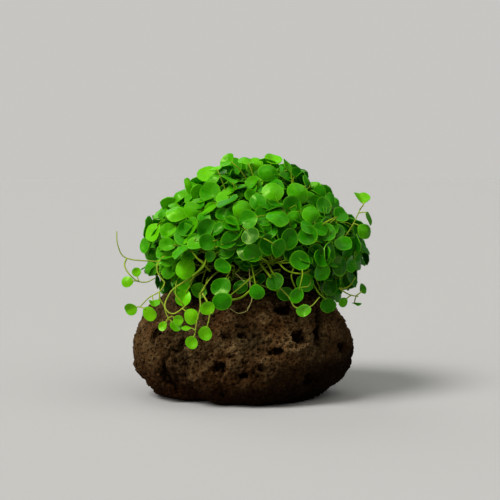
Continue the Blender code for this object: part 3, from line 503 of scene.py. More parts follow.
# The stone's patches from broad to fine and its fine pores, the reliefs in millimetres between which it turns
# dark with painted shade in its hollows and pale with painted light on its crests, and how much of each it
# takes
STONE_PATCHES = (55.0, 330.0, 1400.0)
FINE_PORES = 620.0
FINE_PORE_SIZE = 0.42
PORE_EDGES = (0.55, 1.0)
HOLLOW_RELIEF = (-1.6, 0.1)
CREST_RELIEF = (0.0, 1.4)
LEVEL_PALENESS = 0.35
PALE_SHARE = 0.9
PAINTED_PORE_SHADE = 0.75
PAINTED_UNDERSIDE_SHADE = 0.95
GRAIN_RELIEF = 0.45
MIDDLE_RELIEF = 0.6
STONE_ROUGHNESS = 0.95
RIDGE_GLOSS = 0.2
STONE_RUST = (0.056, 0.021, 0.0052)
STONE_GREY = (0.036, 0.024, 0.0095)
STONE_PALE = (0.210, 0.138, 0.062)
STONE_FOOT = (0.0190, 0.0053, 0.0008)
STONE_DARK = (0.0030, 0.0011, 0.0003)
FLOOR_COLOUR = (0.355, 0.352, 0.360)

# The studio
FLOOR_SIZE = 30.0
FLOOR_GAP = 0.05 * MM
LIT_PLACE = Vector((0.0, 0.0, 60.0)) * MM
LIGHTS = (
    ("key_light", (-0.50, -0.42, 0.86), 24.0, 3.8, (1.0, 0.98, 0.93)),
    ("left_light", (-0.80, -0.52, 0.25), 60.0, 1.1, (1.0, 0.98, 0.85)),
    ("top_light", (0.38, -0.30, 0.92), 70.0, 1.4, (1.0, 1.0, 0.90)),
    ("back_light", (-0.30, 0.50, 0.70), 40.0, 0.5, (0.95, 1.0, 0.95)),
)
SKY_COLOUR = (0.80, 0.785, 0.76)
SKY_SEEN = 0.713
SKY_LIGHT = 0.14
CAMERA_LENS = 86.4
CAMERA_SENSOR = 36.0
CAMERA_PITCH = 3.8
CAMERA_CLIP = 0.01

Leaf = namedtuple("Leaf", "centre facing base radius node")
Stem = namedtuple("Stem", "points leaves")


# The plan: where each stem runs and each leaf sits

def rock_skin(direction):
    """The smooth bun's reach along a unit direction from the middle of its waist."""
    tall = ROCK_CAP if direction.z > 0.0 else ROCK_KEEL
    total = abs(direction.x / ROCK_HALF_WIDTH) ** ROCK_FULLNESS
    total += abs(direction.y / ROCK_HALF_DEPTH) ** ROCK_FULLNESS
    total += abs(direction.z / tall) ** ROCK_FULLNESS
    return total ** (-1.0 / ROCK_FULLNESS)


def dome_reach(direction):
    """The dome's reach along a unit direction from its middle."""
    rising = direction.z > 0.0
    power = DOME_RISE_POWER if rising else DOME_DROP_POWER
    out = math.hypot(direction.x / DOME_HALF_WIDTH, direction.y / DOME_HALF_DEPTH)
    up = abs(direction.z) / (DOME_RISE if rising else DOME_DROP)
    return (out ** power + up ** power) ** (-1.0 / power)


def on_dome(direction, sink):
    """A point in the dome, sunk below its skin."""
    return DOME_PLACE + direction * (dome_reach(direction) - sink)


def seen(across, height, behind):
    """The point at a depth that shows, from the front, at a place on the plane through the stone."""
    target = Vector((across, 0.0, height)) * MM
    return EYE + (target - EYE) * (1.0 - behind * MM / EYE.y)


def seen_on_dome(across, height, sink):
    """Where the line of sight to a place first comes sink deep into the dome, or passes nearest to that."""
    best, shortest = None, None
    for step in range(*VIEW_STEPS):
        place = seen(across, height, VIEW_STEP * step)
        arm = place - DOME_PLACE
        over = arm.length - (dome_reach(arm.normalized()) - sink)
        if over <= 0.0:
            return place
        if shortest is None or over < shortest:
            best, shortest = place, over
    return best


def facing(turn, tilt):
    """The unit direction of an upper face that is turned to the right and tilted upwards."""
    turn = math.radians(turn)
    tilt = math.radians(tilt)
    return Vector((math.sin(turn) * math.cos(tilt), -math.cos(turn) * math.cos(tilt), math.sin(tilt)))


def crown_start(azimuth, lean):
    """A point just off the crown and the direction straight out of it there, angles in radians."""
    out = Vector((math.sin(lean) * math.cos(azimuth), math.sin(lean) * math.sin(azimuth), math.cos(lean)))
    place = CROWN_PLACE + Vector(part * size for part, size in zip(out, CROWN_SIZE))
    normal = Vector(part / size for part, size in zip(out, CROWN_SIZE)).normalized()
    return place + normal * GAP, normal


def curve_points(start, leave, arrive, end, steps):
    """Points along a cubic curve from start to end, by way of its two handles."""
    points = []
    for t in steps:
        s = 1.0 - t
        points.append(start * s ** 3 + leave * 3 * s * s * t + arrive * 3 * s * t * t + end * t ** 3)
    return points


def plan_stem(direction, crowd):
    """The route of one leafy stem, its foot swung round the crown until it clears what is there."""
    for swing in FOOT_SWINGS:
        stem = stem_route(direction, math.radians(swing))
        if nearest(along(stem.points, BEAD_SPACING), crowd.points) > STEM_CLEARANCE:
            break
    return stem


def stem_route(direction, swing):
    """A route from the crown to just under the dome's skin."""
    azimuth = math.atan2(direction.y, direction.x) + swing
    lean = math.acos(direction.z) * CROWN_LEAN
    start, normal = crown_start(azimuth, lean)
    end = on_dome(direction, STEM_SINK)
    span = (end - start).length
    arrive = end - direction.lerp(UP, STEM_RISING) * span * STEM_ARRIVE
    return Stem(curve_points(start, start + normal * span * STEM_LEAVE, arrive, end, STEM_STEPS), [])


def along(points, spacing):
    """Points no further apart than spacing along a route."""
    found = [points[0]]
    for first, last in zip(points, points[1:]):
        steps = max(1, math.ceil((last - first).length / spacing))
        found += [first.lerp(last, step / steps) for step in range(1, steps + 1)]
    return found


def blade_beads(leaf):
    """Points spread over a blade, by which one blade is kept clear of another."""
    side = leaf.facing.cross(leaf.base)
    beads = [leaf.centre]
    for share, count in BEAD_RINGS:
        for step in range(count):
            angle = 2.0 * math.pi * step / count
            spoke = leaf.base * math.cos(angle) + side * math.sin(angle)
            beads.append(leaf.centre + spoke * leaf.radius * share)
    return beads


def petiole_beads(leaf):
    """Points along a leaf's own short stalk."""
    return along([leaf.centre + leaf.base * leaf.radius, leaf.node], BEAD_SPACING)


def far_beads(leaf):
    """Points along the part of a leaf's stalk that has left the stem."""
    return [place for place in petiole_beads(leaf) if (place - leaf.node).length > STALK_FREE]


def nearest(beads, others):
    """The shortest distance between two sets of points."""
    if not len(others) or not beads:
        return math.inf
    gaps = np.array(beads)[:, None, :] - others[None, :, :]
    return math.sqrt((gaps * gaps).sum(axis=2).min())


class Crowd:
    """The places already taken, each with its owner, the stem it is on, and its kind."""

    STEM, STALK, BLADE = range(3)

    def __init__(self):
        self.points = np.zeros((0, 3))
        self.owners = np.zeros(0, dtype=int)
        self.kinds = np.zeros(0, dtype=int)
        self.nodes = {}

    def add(self, owner, beads, kind):
        if beads:
            self.points = np.vstack([self.points, np.array(beads)])
            self.owners = np.append(self.owners, [owner] * len(beads))
            self.kinds = np.append(self.kinds, [kind] * len(beads))

    def has_room(self, owner, leaf):
        """Whether a leaf clears the stone, every other stem's growth, and the growth on its own stem."""
        blade = blade_beads(leaf)
        stalk = petiole_beads(leaf)
        own = self.owners == owner
        if nearest(blade + stalk, self.points[~own]) < LEAF_CLEARANCE:
            return False
        if nearest(blade, self.points[own & (self.kinds == self.STEM)]) < SIBLING_CLEARANCE:
            return False
        if nearest(blade + far_beads(leaf), self.points[own & (self.kinds != self.STEM)]) < SIBLING_CLEARANCE:
            return False
        return all(off_the_bun(place) > ROCK_CLEARANCE for place in blade + stalk)

    def free_nodes(self, owner, nodes):
        """The nodes of a stem that no leaf has taken yet."""
        taken = self.nodes.setdefault(owner, [])
        return [place for place in nodes if all((place - other).length > NODE_SPACING for other in taken)]

    def take(self, owner, leaf):
        """Give a leaf its place."""
        self.add(owner, blade_beads(leaf), self.BLADE)
        self.add(owner, far_beads(leaf), self.STALK)
        self.nodes.setdefault(owner, []).append(leaf.node)


def off_the_bun(place):
    """How far outside the stone's smooth bun a place is."""
    arm = place - UP * ROCK_WAIST
    return arm.length - rock_skin(arm.normalized())


def outer_nodes(route):
    """Places on the outer part of a route where a leaf's stalk may start, short of its very end."""
    places = along(route, NODE_STEP)
    return places[int(len(places) * LEAFY_FROM):-1]


def leaf_at(centre, face, radius, nodes):
    """A leaf with its stalk running to the nearest of the nodes, no closer to it than its own size."""
    node = min(nodes, key=lambda place: (place - centre).length)
    apart = max((centre - node).length, radius + SHORTEST_STALK)
    centre = node + (centre - node).normalized() * apart
    base = node - centre
    base -= face * base.dot(face)
    if base.length < GAP:
        base = face.orthogonal()
    return Leaf(centre, face, base.normalized(), radius, node)


def plan_runner(name, details):
    """A trailing runner: its routes, the first one starting at the crown, and its small leaves."""
    azimuth, lean = details["start"]
    start, normal = crown_start(math.radians(-90.0 + azimuth), math.radians(lean))
    routes = [[seen(*point) for point in route] for route in details["routes"]]
    routes[0] = [start, start + normal * RUNNER_RISE] + routes[0]
    leaves = []
    for across, height, behind, radius, turn, tilt in details["leaves"]:
        nodes = [place for route in routes for place in outer_nodes(route)]
        leaves.append(leaf_at(seen(across, height, behind), facing(turn, tilt), radius * MM, nodes))
    return routes, leaves


def place_front_leaf(row, stems, crowd):
    """A leaf that shows from the front, slid along the line of sight until it has room by a stem near it."""
    across, height, radius, turn, tilt = row
    for sink in FRONT_SINKS:
        centre = seen_on_dome(across, height, sink * MM)
        near = sorted(range(len(stems)), key=lambda index: (stems[index].points[-1] - centre).length)
        for owner in near[:STEMS_TRIED]:
            nodes = crowd.free_nodes(owner, outer_nodes(stems[owner].points))
            leaf = leaf_at(centre, facing(turn, tilt), radius * MM, nodes) if nodes else None
            if leaf and crowd.has_room(owner, leaf):
                crowd.take(owner, leaf)
                stems[owner].leaves.append(leaf)
                return


def place_spread_leaves(stems, crowd):
    """Leaves around the tip of every stem, wherever they find room, until the stem has enough."""
    luck = random.Random(SPREAD_SEED)
    for owner, stem in enumerate(stems):
        direction = (stem.points[-1] - DOME_PLACE).normalized()
        across = direction.orthogonal().normalized()
        other = direction.cross(across)
        for attempt in range(LEAF_TRIES):
            angle = SPIRAL_TURN * attempt + luck.uniform(-SPIRAL_SWAY, SPIRAL_SWAY)
            away = (SPIRAL_START + SPIRAL_OPENING * math.sqrt(attempt)) / dome_reach(direction)
            aim = direction + (across * math.cos(angle) + other * math.sin(angle)) * away
            aim.normalize()
            centre = on_dome(aim, luck.uniform(*SPREAD_SINKS))
            face = (aim + UP * SPREAD_LIFT + any_way(luck) * SPREAD_SWAY).normalized()
            nodes = crowd.free_nodes(owner, outer_nodes(stem.points))
            leaf = leaf_at(centre, face, luck.uniform(*SPREAD_SIZES), nodes) if nodes else None
            if leaf and len(stem.leaves) < MOST_LEAVES and crowd.has_room(owner, leaf):
                crowd.take(owner, leaf)
                stem.leaves.append(leaf)


def plan_plant():
    """Every runner, every leafy stem with its leaves, none touching another, and the places taken."""
    crowd = Crowd()
    runners = {}
    for number, (name, details) in enumerate(RUNNERS.items(), FIRST_RUNNER):
        routes, leaves = plan_runner(name, details)
        for route in routes:
            crowd.add(number, along(route, BEAD_SPACING), crowd.STEM)
        for leaf in leaves:
            crowd.take(number, leaf)
        runners[name] = (routes, leaves)
    stems = []
    for owner, direction in enumerate(spread_directions(STEM_COUNT, 0.0, STEM_LAST_ANGLE)):
        stems.append(plan_stem(direction, crowd))
        crowd.add(owner, along(stems[owner].points, BEAD_SPACING), crowd.STEM)
    for row in sorted(FRONT_LEAVES, key=lambda row: -row[2]):
        place_front_leaf(row, stems, crowd)
    place_spread_leaves(stems, crowd)
    return runners, stems, crowd


# The leaves between the main ones

def spread_directions(count, first_angle, last_angle):
    """Directions spread evenly over a band of the dome, both its edges given in degrees from the top."""
    highest = math.cos(math.radians(first_angle))
    lowest = math.cos(math.radians(last_angle))
    golden = math.pi * (3.0 - math.sqrt(5.0))
    for index in range(count):
        height = highest - (highest - lowest) * (index + SPREAD_START) / count
        flat = math.sqrt(1.0 - height * height)
        turn = golden * index
        yield Vector((flat * math.cos(turn), flat * math.sin(turn), height))


def any_way(luck):
    """A vector that points any way, no longer than a cube's half diagonal."""
    return Vector((luck.uniform(-1, 1), luck.uniform(-1, 1), luck.uniform(-1, 1)))


class Cubes:
    """Beads sorted into small cubes, so that the ones near a place are found quickly."""

    def __init__(self, size):
        self.size = size
        self.beads = {}

    def cube(self, place):
        return tuple(math.floor(part / self.size) for part in place)

    def add(self, beads):
        for bead in beads:
            self.beads.setdefault(self.cube(bead), []).append(Vector(bead))

    def clear(self, places, clearance):
        """Whether every place keeps its clearance, at most a cube's size, to all the beads."""
        for place in places:
            x, y, z = self.cube(place)
            for cube in ((x + i, y + j, z + k) for i in (-1, 0, 1) for j in (-1, 0, 1) for k in (-1, 0, 1)):
                for bead in self.beads.get(cube, ()):
                    if (bead - place).length < clearance:
                        return False
        return True


def in_the_box(place):
    """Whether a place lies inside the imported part's box."""
    return all(low < part < high for low, part, high in zip(CAD_BOX[0], place, CAD_BOX[1]))


def seen_from_front(place):
    """How far right and how high a place shows from the front, in millimetres, in the plane of the stone."""
    share = EYE.y / (EYE.y - place.y)
    target = EYE + (place - EYE) * share
    return target.x / MM, target.z / MM


def in_the_opening(place):
    """Whether a place would hide the stems and the dark that show under the dome's front."""
    across, height = seen_from_front(place)
    return place.y < 0.0 and any(left < across < right and height < top for left, right, top in OPENINGS)


def hides(leaf, shown):
    """Whether a small leaf would stand in front of a main leaf that shows from the front."""
    if leaf.centre.y > HIDING_BEHIND:
        return False
    across, height = seen_from_front(leaf.centre)
    for near, right, up, radius in shown:
        apart = math.hypot(across - right, height - up)
        if leaf.centre.y < near and apart < (radius + leaf.radius / MM) * HIDING_REACH:
            return True
    return False


def fits(leaf, cubes, clearance, shown):
    """Whether a small leaf has room where it is."""
    if hides(leaf, shown):
        return False
    blade = blade_beads(leaf)
    if any(in_the_opening(place) or not in_the_box(place) for place in blade):
        return False
    if any(off_the_bun(place) <= FILLER_OFF_ROCK for place in blade):
        return False
    return cubes.clear(blade + far_beads(leaf), clearance)


def place_finder(places, step=1):
    """A tree that finds the numbers of the places near another one, holding every place or one in so many."""
    finder = KDTree(len(places[::step]))
    for number in range(0, len(places), step):
        finder.insert(places[number], number)
    finder.balance()
    return finder


class Fillers:
    """The leaves between the main ones, each given to the stem that it is nearest to."""

    def __init__(self, stems, crowd):
        self.nodes = [(place, owner) for owner, stem in enumerate(stems)
                      for place in outer_nodes(stem.points)]
        self.finder = place_finder([place for place, owner in self.nodes])
        self.cubes = Cubes(FILLER_LAYERS[0][-1] * MM)
        self.cubes.add(crowd.points)
        self.leaves = [[] for stem in stems]

    def leaf_near(self, centre, face, radius):
        """A leaf with its stalk on the stem nearest to it, and the number of that stem."""
        node, owner = self.nodes[self.finder.find(centre)[1]]
        return leaf_at(centre, face, radius, [node]), owner

    def keep(self, leaf, owner):
        """Give a leaf its place."""
        self.cubes.add(blade_beads(leaf) + far_beads(leaf))
        self.leaves[owner].append(leaf)

    def keep_back_leaves(self, rows):
        """Leaves that face the front, at the places that the rows say."""
        for across, height, behind, radius in rows:
            centre = seen(across, height, behind)
            self.keep(*self.leaf_near(centre, facing(0.0, BACK_TILT), radius * MM))


def plan_fillers(stems, crowd):
    """The leaves between the main ones, layer by layer."""
    luck = random.Random(FILLER_SEED)
    fillers = Fillers(stems, crowd)
    shown = [(leaf.centre.y, *seen_from_front(leaf.centre), leaf.radius / MM)
             for stem in stems for leaf in stem.leaves if leaf.centre.y < HIDING_BEHIND]
    fillers.keep_back_leaves(BACK_LEAVES)
    for count, first_angle, last_angle, highest, deepest, smallest, largest, clearance in FILLER_LAYERS:
        for direction in spread_directions(count, first_angle, last_angle):
            for attempt in range(FILLER_TRIES):
                aim = (direction + any_way(luck) * FILLER_SWAY).normalized()
                centre = on_dome(aim, luck.uniform(highest, deepest) * MM)
                face = (aim + UP * FILLER_LIFT + any_way(luck) * FILLER_LEAN).normalized()
                leaf, owner = fillers.leaf_near(centre, face, luck.uniform(smallest, largest) * MM)
                if fits(leaf, fillers.cubes, clearance * MM, shown):
                    fillers.keep(leaf, owner)
                    break
    fillers.keep_back_leaves(LAST_LEAVES)
    return fillers.leaves


# Modelling helpers

def choose(*things):
    """Select only these objects, the first one active."""
    bpy.ops.object.select_all(action="DESELECT")
    for thing in things:
        thing.select_set(True)
    bpy.context.view_layer.objects.active = things[0]


def new_object(name, data):
    """A new object in the scene."""
    made = bpy.data.objects.new(name, data)
    bpy.context.scene.collection.objects.link(made)
    return made


def set_values(mesh, name, values):
    """Give every corner of a mesh its own value, for the materials to read."""
    mesh.attributes.new(name, "FLOAT", "POINT").data.foreach_set("value", values)


def apply_modifier(thing, kind, **settings):
    """Give an object a modifier with these settings and apply it."""
    choose(thing)
    made = thing.modifiers.new(kind.lower(), kind)
    for name, value in settings.items():
        setattr(made, name, value)
    bpy.ops.object.modifier_apply(modifier=made.name)


def tidy_mesh(thing, merge):
    """Merge an object's doubled corners and turn its faces outwards."""
    choose(thing)
    bpy.ops.object.mode_set(mode="EDIT")
    bpy.ops.mesh.select_all(action="SELECT")
    bpy.ops.mesh.remove_doubles(threshold=merge)
    bpy.ops.mesh.normals_make_consistent(inside=False)
    bpy.ops.object.mode_set(mode="OBJECT")


def finish_piece(thing, name, node):
    """Name a finished piece, let it ride on the part, and let it stand for its solid."""
    thing.name = name
    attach(thing, "root")
    if node:
        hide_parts(node)
    return thing


def solid_copy(node, name):
    """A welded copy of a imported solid, as a new object."""
    copy = new_object(name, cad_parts[node].data.copy())
    copy.data.materials.clear()
    tidy_mesh(copy, SOLID_WELD)
    return copy


def smooth_route(points, pieces=4):
    """More points along a route, on a curve that bends smoothly through its own points."""
    ends = [points[0] * 2.0 - points[1]] + list(points) + [points[-1] * 2.0 - points[-2]]
    found = [points[0]]
    for before, first, last, after in zip(ends, ends[1:], ends[2:], ends[3:]):
        for step in range(1, pieces + 1):
            t = step / pieces
            bend = (last - before) * t + (before * 2 - first * 5 + last * 4 - after) * t * t
            bend += (first * 3 - before - last * 3 + after) * t ** 3
            found.append(first + bend * 0.5)
    return found


def new_strands(name):
    """A curve object that draws round strands as thick as its points say."""
    curve = bpy.data.curves.new(name, "CURVE")
    curve.dimensions = "3D"
    curve.bevel_depth = 1.0
    curve.bevel_resolution = 1
    curve.use_fill_caps = True
    return new_object(name, curve)


def add_strand(strands, points, first_radius, last_radius):
    """One strand through the points, its thickness changing evenly from one end to the other."""
    spline = strands.data.splines.new("POLY")
    spline.points.add(len(points) - 1)
    for number, (corner, place) in enumerate(zip(spline.points, points)):
        corner.co = (*place, 1.0)
        corner.radius = first_radius + (last_radius - first_radius) * number / (len(points) - 1)


def strands_to_mesh(strands, material):
    """Turn finished strands into one welded mesh."""
    choose(strands)
    bpy.ops.object.convert(target="MESH")
    made = bpy.context.view_layer.objects.active
    tidy_mesh(made, STRAND_WELD)
    made.data.materials.clear()
    made.data.materials.append(material)
    made.data.shade_smooth()
    return made


# The blades

def model_blade(name, sides, rings, cup, fold, material):
    """One blade of half width 1 with its heel at the origin, its tip towards +Y and its upper face up."""
    bpy.ops.object.select_all(action="DESELECT")
    bpy.ops.mesh.primitive_circle_add(vertices=sides, radius=1.0, fill_type="NGON", location=(0.0, 1.0, 0.0))
    blade = bpy.context.object
    blade.name = name
    bpy.ops.object.mode_set(mode="EDIT")
    bpy.ops.mesh.select_all(action="SELECT")
    for ring in rings:
        bpy.ops.mesh.inset(thickness=ring)
    bpy.ops.mesh.poke()
    pull_near(blade, (0.0, 0.0, -cup), *CUP_PULL)
    pull_near(blade, (0.0, -HEEL_POINT, 0.0), *HEEL_PULL)
    pull_near(blade, (0.0, -TIP_BLUNTNESS, 0.0), *TIP_PULL)
    bpy.ops.object.mode_set(mode="OBJECT")
    for corner in blade.data.vertices:
        corner.co.z += fold * abs(corner.co.x) + BLADE_SAG * (corner.co.y + 1.0) * (1.0 - corner.co.y)
    apply_modifier(blade, "SOLIDIFY", thickness=BLADE_THICKNESS, offset=-1.0)
    choose(blade)
    bpy.ops.object.transform_apply(location=True, rotation=True, scale=True)
    bpy.ops.object.shade_smooth_by_angle(angle=math.radians(SMOOTH_ANGLE))
    lay_uv(blade)
    blade.data.materials.append(material)
    blade.hide_render = True
    return blade


def pull_near(thing, shift, spot, reach, spread):
    """In edit mode, move what lies at a spot of a blade, and its neighbours less and less with distance."""
    bpy.ops.object.mode_set(mode="OBJECT")
    for corner in thing.data.vertices:
        corner.select = math.hypot(corner.co.x - spot[0], corner.co.y - spot[1]) < reach
    for edge in thing.data.edges:
        edge.select = False
    for face in thing.data.polygons:
        face.select = False
    bpy.ops.object.mode_set(mode="EDIT")
    bpy.ops.mesh.select_mode(type="VERT")
    bpy.ops.transform.translate(value=shift, use_proportional_edit=True, proportional_edit_falloff="SMOOTH",
                                proportional_size=spread)


def lay_uv(blade):
    """Lay a blade's own UV map flat over it: U across, with the midrib at 0.5, and V from heel to tip."""
    layer = blade.data.uv_layers.active or blade.data.uv_layers.new(name="UVMap")
    for loop in blade.data.loops:
        place = blade.data.vertices[loop.vertex_index].co
        layer.data[loop.index].uv = (0.5 + place.x * UV_SHARE, UV_HEEL + place.y * UV_SHARE)


def model_blades(material):
    """The forms that blades have: the large ones of main leaves, and the plainer ones of small leaves."""
    return [[model_blade(name, sides, rings, cup, fold, material) for name, cup, fold in forms]
            for sides, rings, forms in (LARGE_BLADES, SMALL_BLADES)]


def place_blade(form, leaf, tone, sway, luck):
    """A copy of a blade where a leaf is, a little wider or narrower and more or less cupped than the next."""
    across = (-leaf.base).cross(leaf.facing)
    turn = Matrix((across, -leaf.base, leaf.facing)).transposed().to_4x4()
    for axis in "YX":
        turn = turn @ Matrix.Rotation(luck.gauss(0.0, sway), 4, axis)
    width = leaf.radius * luck.uniform(*BLADE_WIDTHS)
    cup = leaf.radius * luck.uniform(*BLADE_CUPS)
    wave = luck.uniform(*WAVE_STARTS)
    blade = new_object("blade", form.data.copy())
    for corner in blade.data.vertices:
        out = math.hypot(corner.co.x, corner.co.y - 1.0)
        angle = math.atan2(corner.co.y - 1.0, corner.co.x)
        swell = 1.0 + BLADE_UNEVEN * out * math.sin(2.0 * angle + wave)
        corner.co.x *= swell
        corner.co.y = 1.0 + (corner.co.y - 1.0) * swell
        corner.co.z += BLADE_WAVE * out * out * math.sin(3.0 * angle + wave * 2.0)
    size = Matrix.Diagonal((width, leaf.radius, cup, 1.0))
    blade.data.transform(Matrix.Translation(leaf.centre + leaf.base * leaf.radius) @ turn @ size)
    # Every corner carries the leaf's tone, with its painted light and shade
    set_values(blade.data, "leaf_tone_and_shade", [tone] * len(blade.data.vertices))
    return blade


def leaf_tone_and_shade(leaf, luck):
    """How light a leaf's green is, from 0 to 1: painted shade deeper in the dome and towards the right,
    painted light higher up, painted shade mid-front and painted light low on the left, and tone that differs
    by luck.
    """
    arm = leaf.centre - DOME_PLACE
    sunk = (dome_reach(arm.normalized()) - arm.length) / MM
    # Painted shade deeper in the dome and towards the right, painted light higher up
    tone = TONE_START - sunk * PAINTED_SHADE_DEEPER + (leaf.centre.z - DOME_PLACE.z) / MM * PAINTED_LIGHT_HIGHER
    tone -= leaf.centre.x / MM * PAINTED_SHADE_RIGHTWARD
    # Painted shade in the middle of the front, under the overhang, and painted light low on the left
    if leaf.centre.y < 0.0:
        for across, height, reach, share in PAINTED_SHADE_AND_LIGHT_PARTS:
            away = math.hypot(leaf.centre.x / MM - across, leaf.centre.z / MM - height)
            tone += share * max(0.0, 1.0 - away / reach)
    return min(1.0, max(0.0, tone + luck.uniform(-TONE_LUCK, TONE_LUCK)))


def stalk_route(leaf, stem):
    """A stalk that leaves its stem, bends over and runs into its blade along the midrib."""
    start = min(stem, key=lambda place: (place - leaf.node).length)
    heel = leaf.centre + leaf.base * leaf.radius
    span = (heel - start).length
    leave = start.lerp(heel, STALK_LEAVE) + UP * span * STALK_LIFT
    arrive = heel + leaf.base * span * STALK_ARRIVE
    tuck = heel - leaf.base * leaf.radius * STALK_TUCK - leaf.facing * leaf.radius * STALK_UNDER
    return curve_points(start, leave, arrive, heel, STALK_STEPS) + [tuck]


def grow_shoot(node, routes, radius, leaves, fillers, forms, looks, slot, luck):
    """One sprig or runner in place of its solid: its stems, and every leaf on its stalk."""
    strands = new_strands(f"{node}_stems")
    smooth = [smooth_route(route) for route in routes]
    for route in smooth:
        add_strand(strands, route, radius, radius * STEM_TAPER)
    stem = [place for route in smooth for place in route]
    blades = []
    for group, choice, (foot, neck, sway) in zip((leaves, fillers), forms, (MAIN_GROWTH, SMALL_GROWTH)):
        for leaf in group:
            add_strand(strands, stalk_route(leaf, stem), STALK_RADIUS * foot, STALK_RADIUS * neck)
            blades.append(place_blade(luck.choice(choice), leaf, leaf_tone_and_shade(leaf, luck), sway, luck))
    stems = strands_to_mesh(strands, looks[slot + "_stem"])
    choose(stems, *blades)
    bpy.ops.object.join()
    finish_piece(stems, f"grown_{node}", node)


# The stone

def cavities(places):
    """How far each place of the stone stands out from the stone round it, below 0 in its pits and creases."""
    heights = [off_the_bun(place) for place in places]
    finder = place_finder(places, CAVITY_STEP)
    found = []
    for place, height in zip(places, heights):
        near = [heights[number] for spot, number, away in finder.find_range(place, CAVITY_REACH)]
        found.append(height - sum(near) / len(near) if near else 0.0)
    return found


def crease_depth(place):
    """How deep the front's creases are at a place, below 0 on its ridges."""
    if place.y > 0.0:
        return 0.0
    sideways = noise.noise(place / CREASE_GRAIN) * CREASE_WAVER
    upwards = noise.noise(place / CREASE_GRAIN + UP * CREASE_SHIFT) * CREASE_WAVER
    spot = Vector(seen_from_front(place)) + Vector((sideways, upwards))
    total = 0.0
    for depth, reach, route in CREASES:
        away = min(gap_to_edge(spot, Vector(start), Vector(end)) for start, end in zip(route, route[1:]))
        total += depth * max(0.0, 1.0 - (away / reach) ** 2) ** 2
    return total * MM


def gap_to_edge(spot, start, end):
    """The distance of a place from a straight edge."""
    along = end - start
    share = (spot - start).dot(along) / along.length_squared
    return (spot - start - along * min(1.0, max(0.0, share))).length


def pore_depths(places):
    """How deep the pores are at each place of the stone, every pore a ragged bowl."""
    luck = random.Random(PORE_SEED)
    finder = place_finder(places)
    raggeds = [noise.noise(place / PORE_RAGGED) * PORE_WAVER for place in places]
    depths = [0.0] * len(places)
    for amount, smallest, largest, share in PORES:
        for pore in range(amount):
            radius = smallest * (largest / smallest) ** luck.random() * MM
            centre = places[luck.randrange(len(places))] + any_way(luck) * PORE_SHIFT * MM
            stretch = Vector([luck.uniform(*span) for span in PORE_STRETCH])
            for place, number, away in finder.find_range(centre, radius * PORE_REACH):
                out = ((place - centre) * stretch).length / radius + raggeds[number]
                if out < 1.0:
                    depths[number] = max(depths[number], radius * share * math.sqrt(1.0 - out * out))
    return depths


def stone_lift(place, depth):
    """How far the skin stands out from the smoothed solid at a place with a pore of some depth."""
    coarse = noise.fractal(place / COARSE_GRAIN, *COARSE_NOISE) * COARSE_HEIGHT
    ridge = noise.ridged_multi_fractal(place / RIDGE_GRAIN, *RIDGE_NOISE) - RIDGE_MIDDLE
    fine = noise.fractal(place / FINE_GRAIN, *FINE_NOISE) * FINE_HEIGHT
    apart = noise.voronoi(place / GRAIN_SIZE)[0]
    seam = max(0.0, 1.0 - (apart[1] - apart[0]) * GRAIN_SHARPNESS)
    lift = STONE_SWELL + coarse + ridge * RIDGE_HEIGHT + fine - seam * GRAIN_HEIGHT - depth
    lift -= crease_depth(place)
    return lift * min(1.0, max(0.0, place.z / BASE_FADE))


def roughen_stone(material):
    """The stone's solid again with a skin of lumps, ridges, creases and pores."""
    stone = solid_copy("lava_rock", "rough_lava_rock")
    apply_modifier(stone, "REMESH", mode="VOXEL", voxel_size=STONE_VOXEL, use_smooth_shade=True)
    apply_modifier(stone, "SMOOTH", factor=0.5, iterations=STONE_SMOOTHING)
    mesh = stone.data
    places = [corner.co.copy() for corner in mesh.vertices]
    normals = [corner.normal.copy() for corner in mesh.vertices]
    depths = pore_depths(places)
    hollows = cavities(places)
    reliefs = []
    for corner, place, normal, depth, hollow in zip(mesh.vertices, places, normals, depths, hollows):
        lift = stone_lift(place, depth)
        corner.co = place + normal * min(lift, STONE_PROUD)
        corner.co.z = max(corner.co.z, 0.0)
        # The relief from which the material paints shade in hollows and light on crests
        reliefs.append((lift + hollow * CAVITY_SHARE) / MM)
    set_values(mesh, "relief", reliefs)
    mesh.materials.append(material)
    mesh.shade_smooth()
    return finish_piece(stone, "rough_lava_rock", "lava_rock")


# The crown and the roots

def crown_core(material):
    """The dark core of the crown, painted with the shade of its depths: its solid again, drawn in a little,
    with a lumpy skin.
    """
    core = solid_copy("root_crown", "crown_core")
    apply_modifier(core, "REMESH", mode="VOXEL", voxel_size=CROWN_VOXEL, use_smooth_shade=True)
    for corner in core.data.vertices:
        out = (corner.co - CROWN_PLACE).normalized()
        bump = noise.fractal(corner.co / CROWN_GRAIN, *CROWN_NOISE) * CROWN_BUMP - CROWN_BUMP
        corner.co += out * bump
    core.data.materials.append(material)
    return core


def add_creepers(strands, luck):
    """Stems that creep round the crown, one way and the other in turn."""
    least, most = CREEPER_LIMITS
    for number in range(CREEPER_COUNT):
        azimuth = SPIRAL_TURN * number
        lean = math.radians(luck.uniform(*CREEPER_LEANS))
        points = []
        for step in range(CREEPER_STEPS):
            place, normal = crown_start(azimuth, lean)
            points.append(place + normal * luck.uniform(*CREEPER_LIFTS) * MM)
            azimuth += luck.uniform(*CREEPER_TURNS) * (1 if number % 2 else -1)
            lean = min(most, max(least, lean + luck.uniform(*CREEPER_SINKS)))
        route = smooth_route(points, STRAND_PIECES)
        add_strand(strands, route, CREEPER_RADIUS, CREEPER_RADIUS * CREEPER_TAPER)


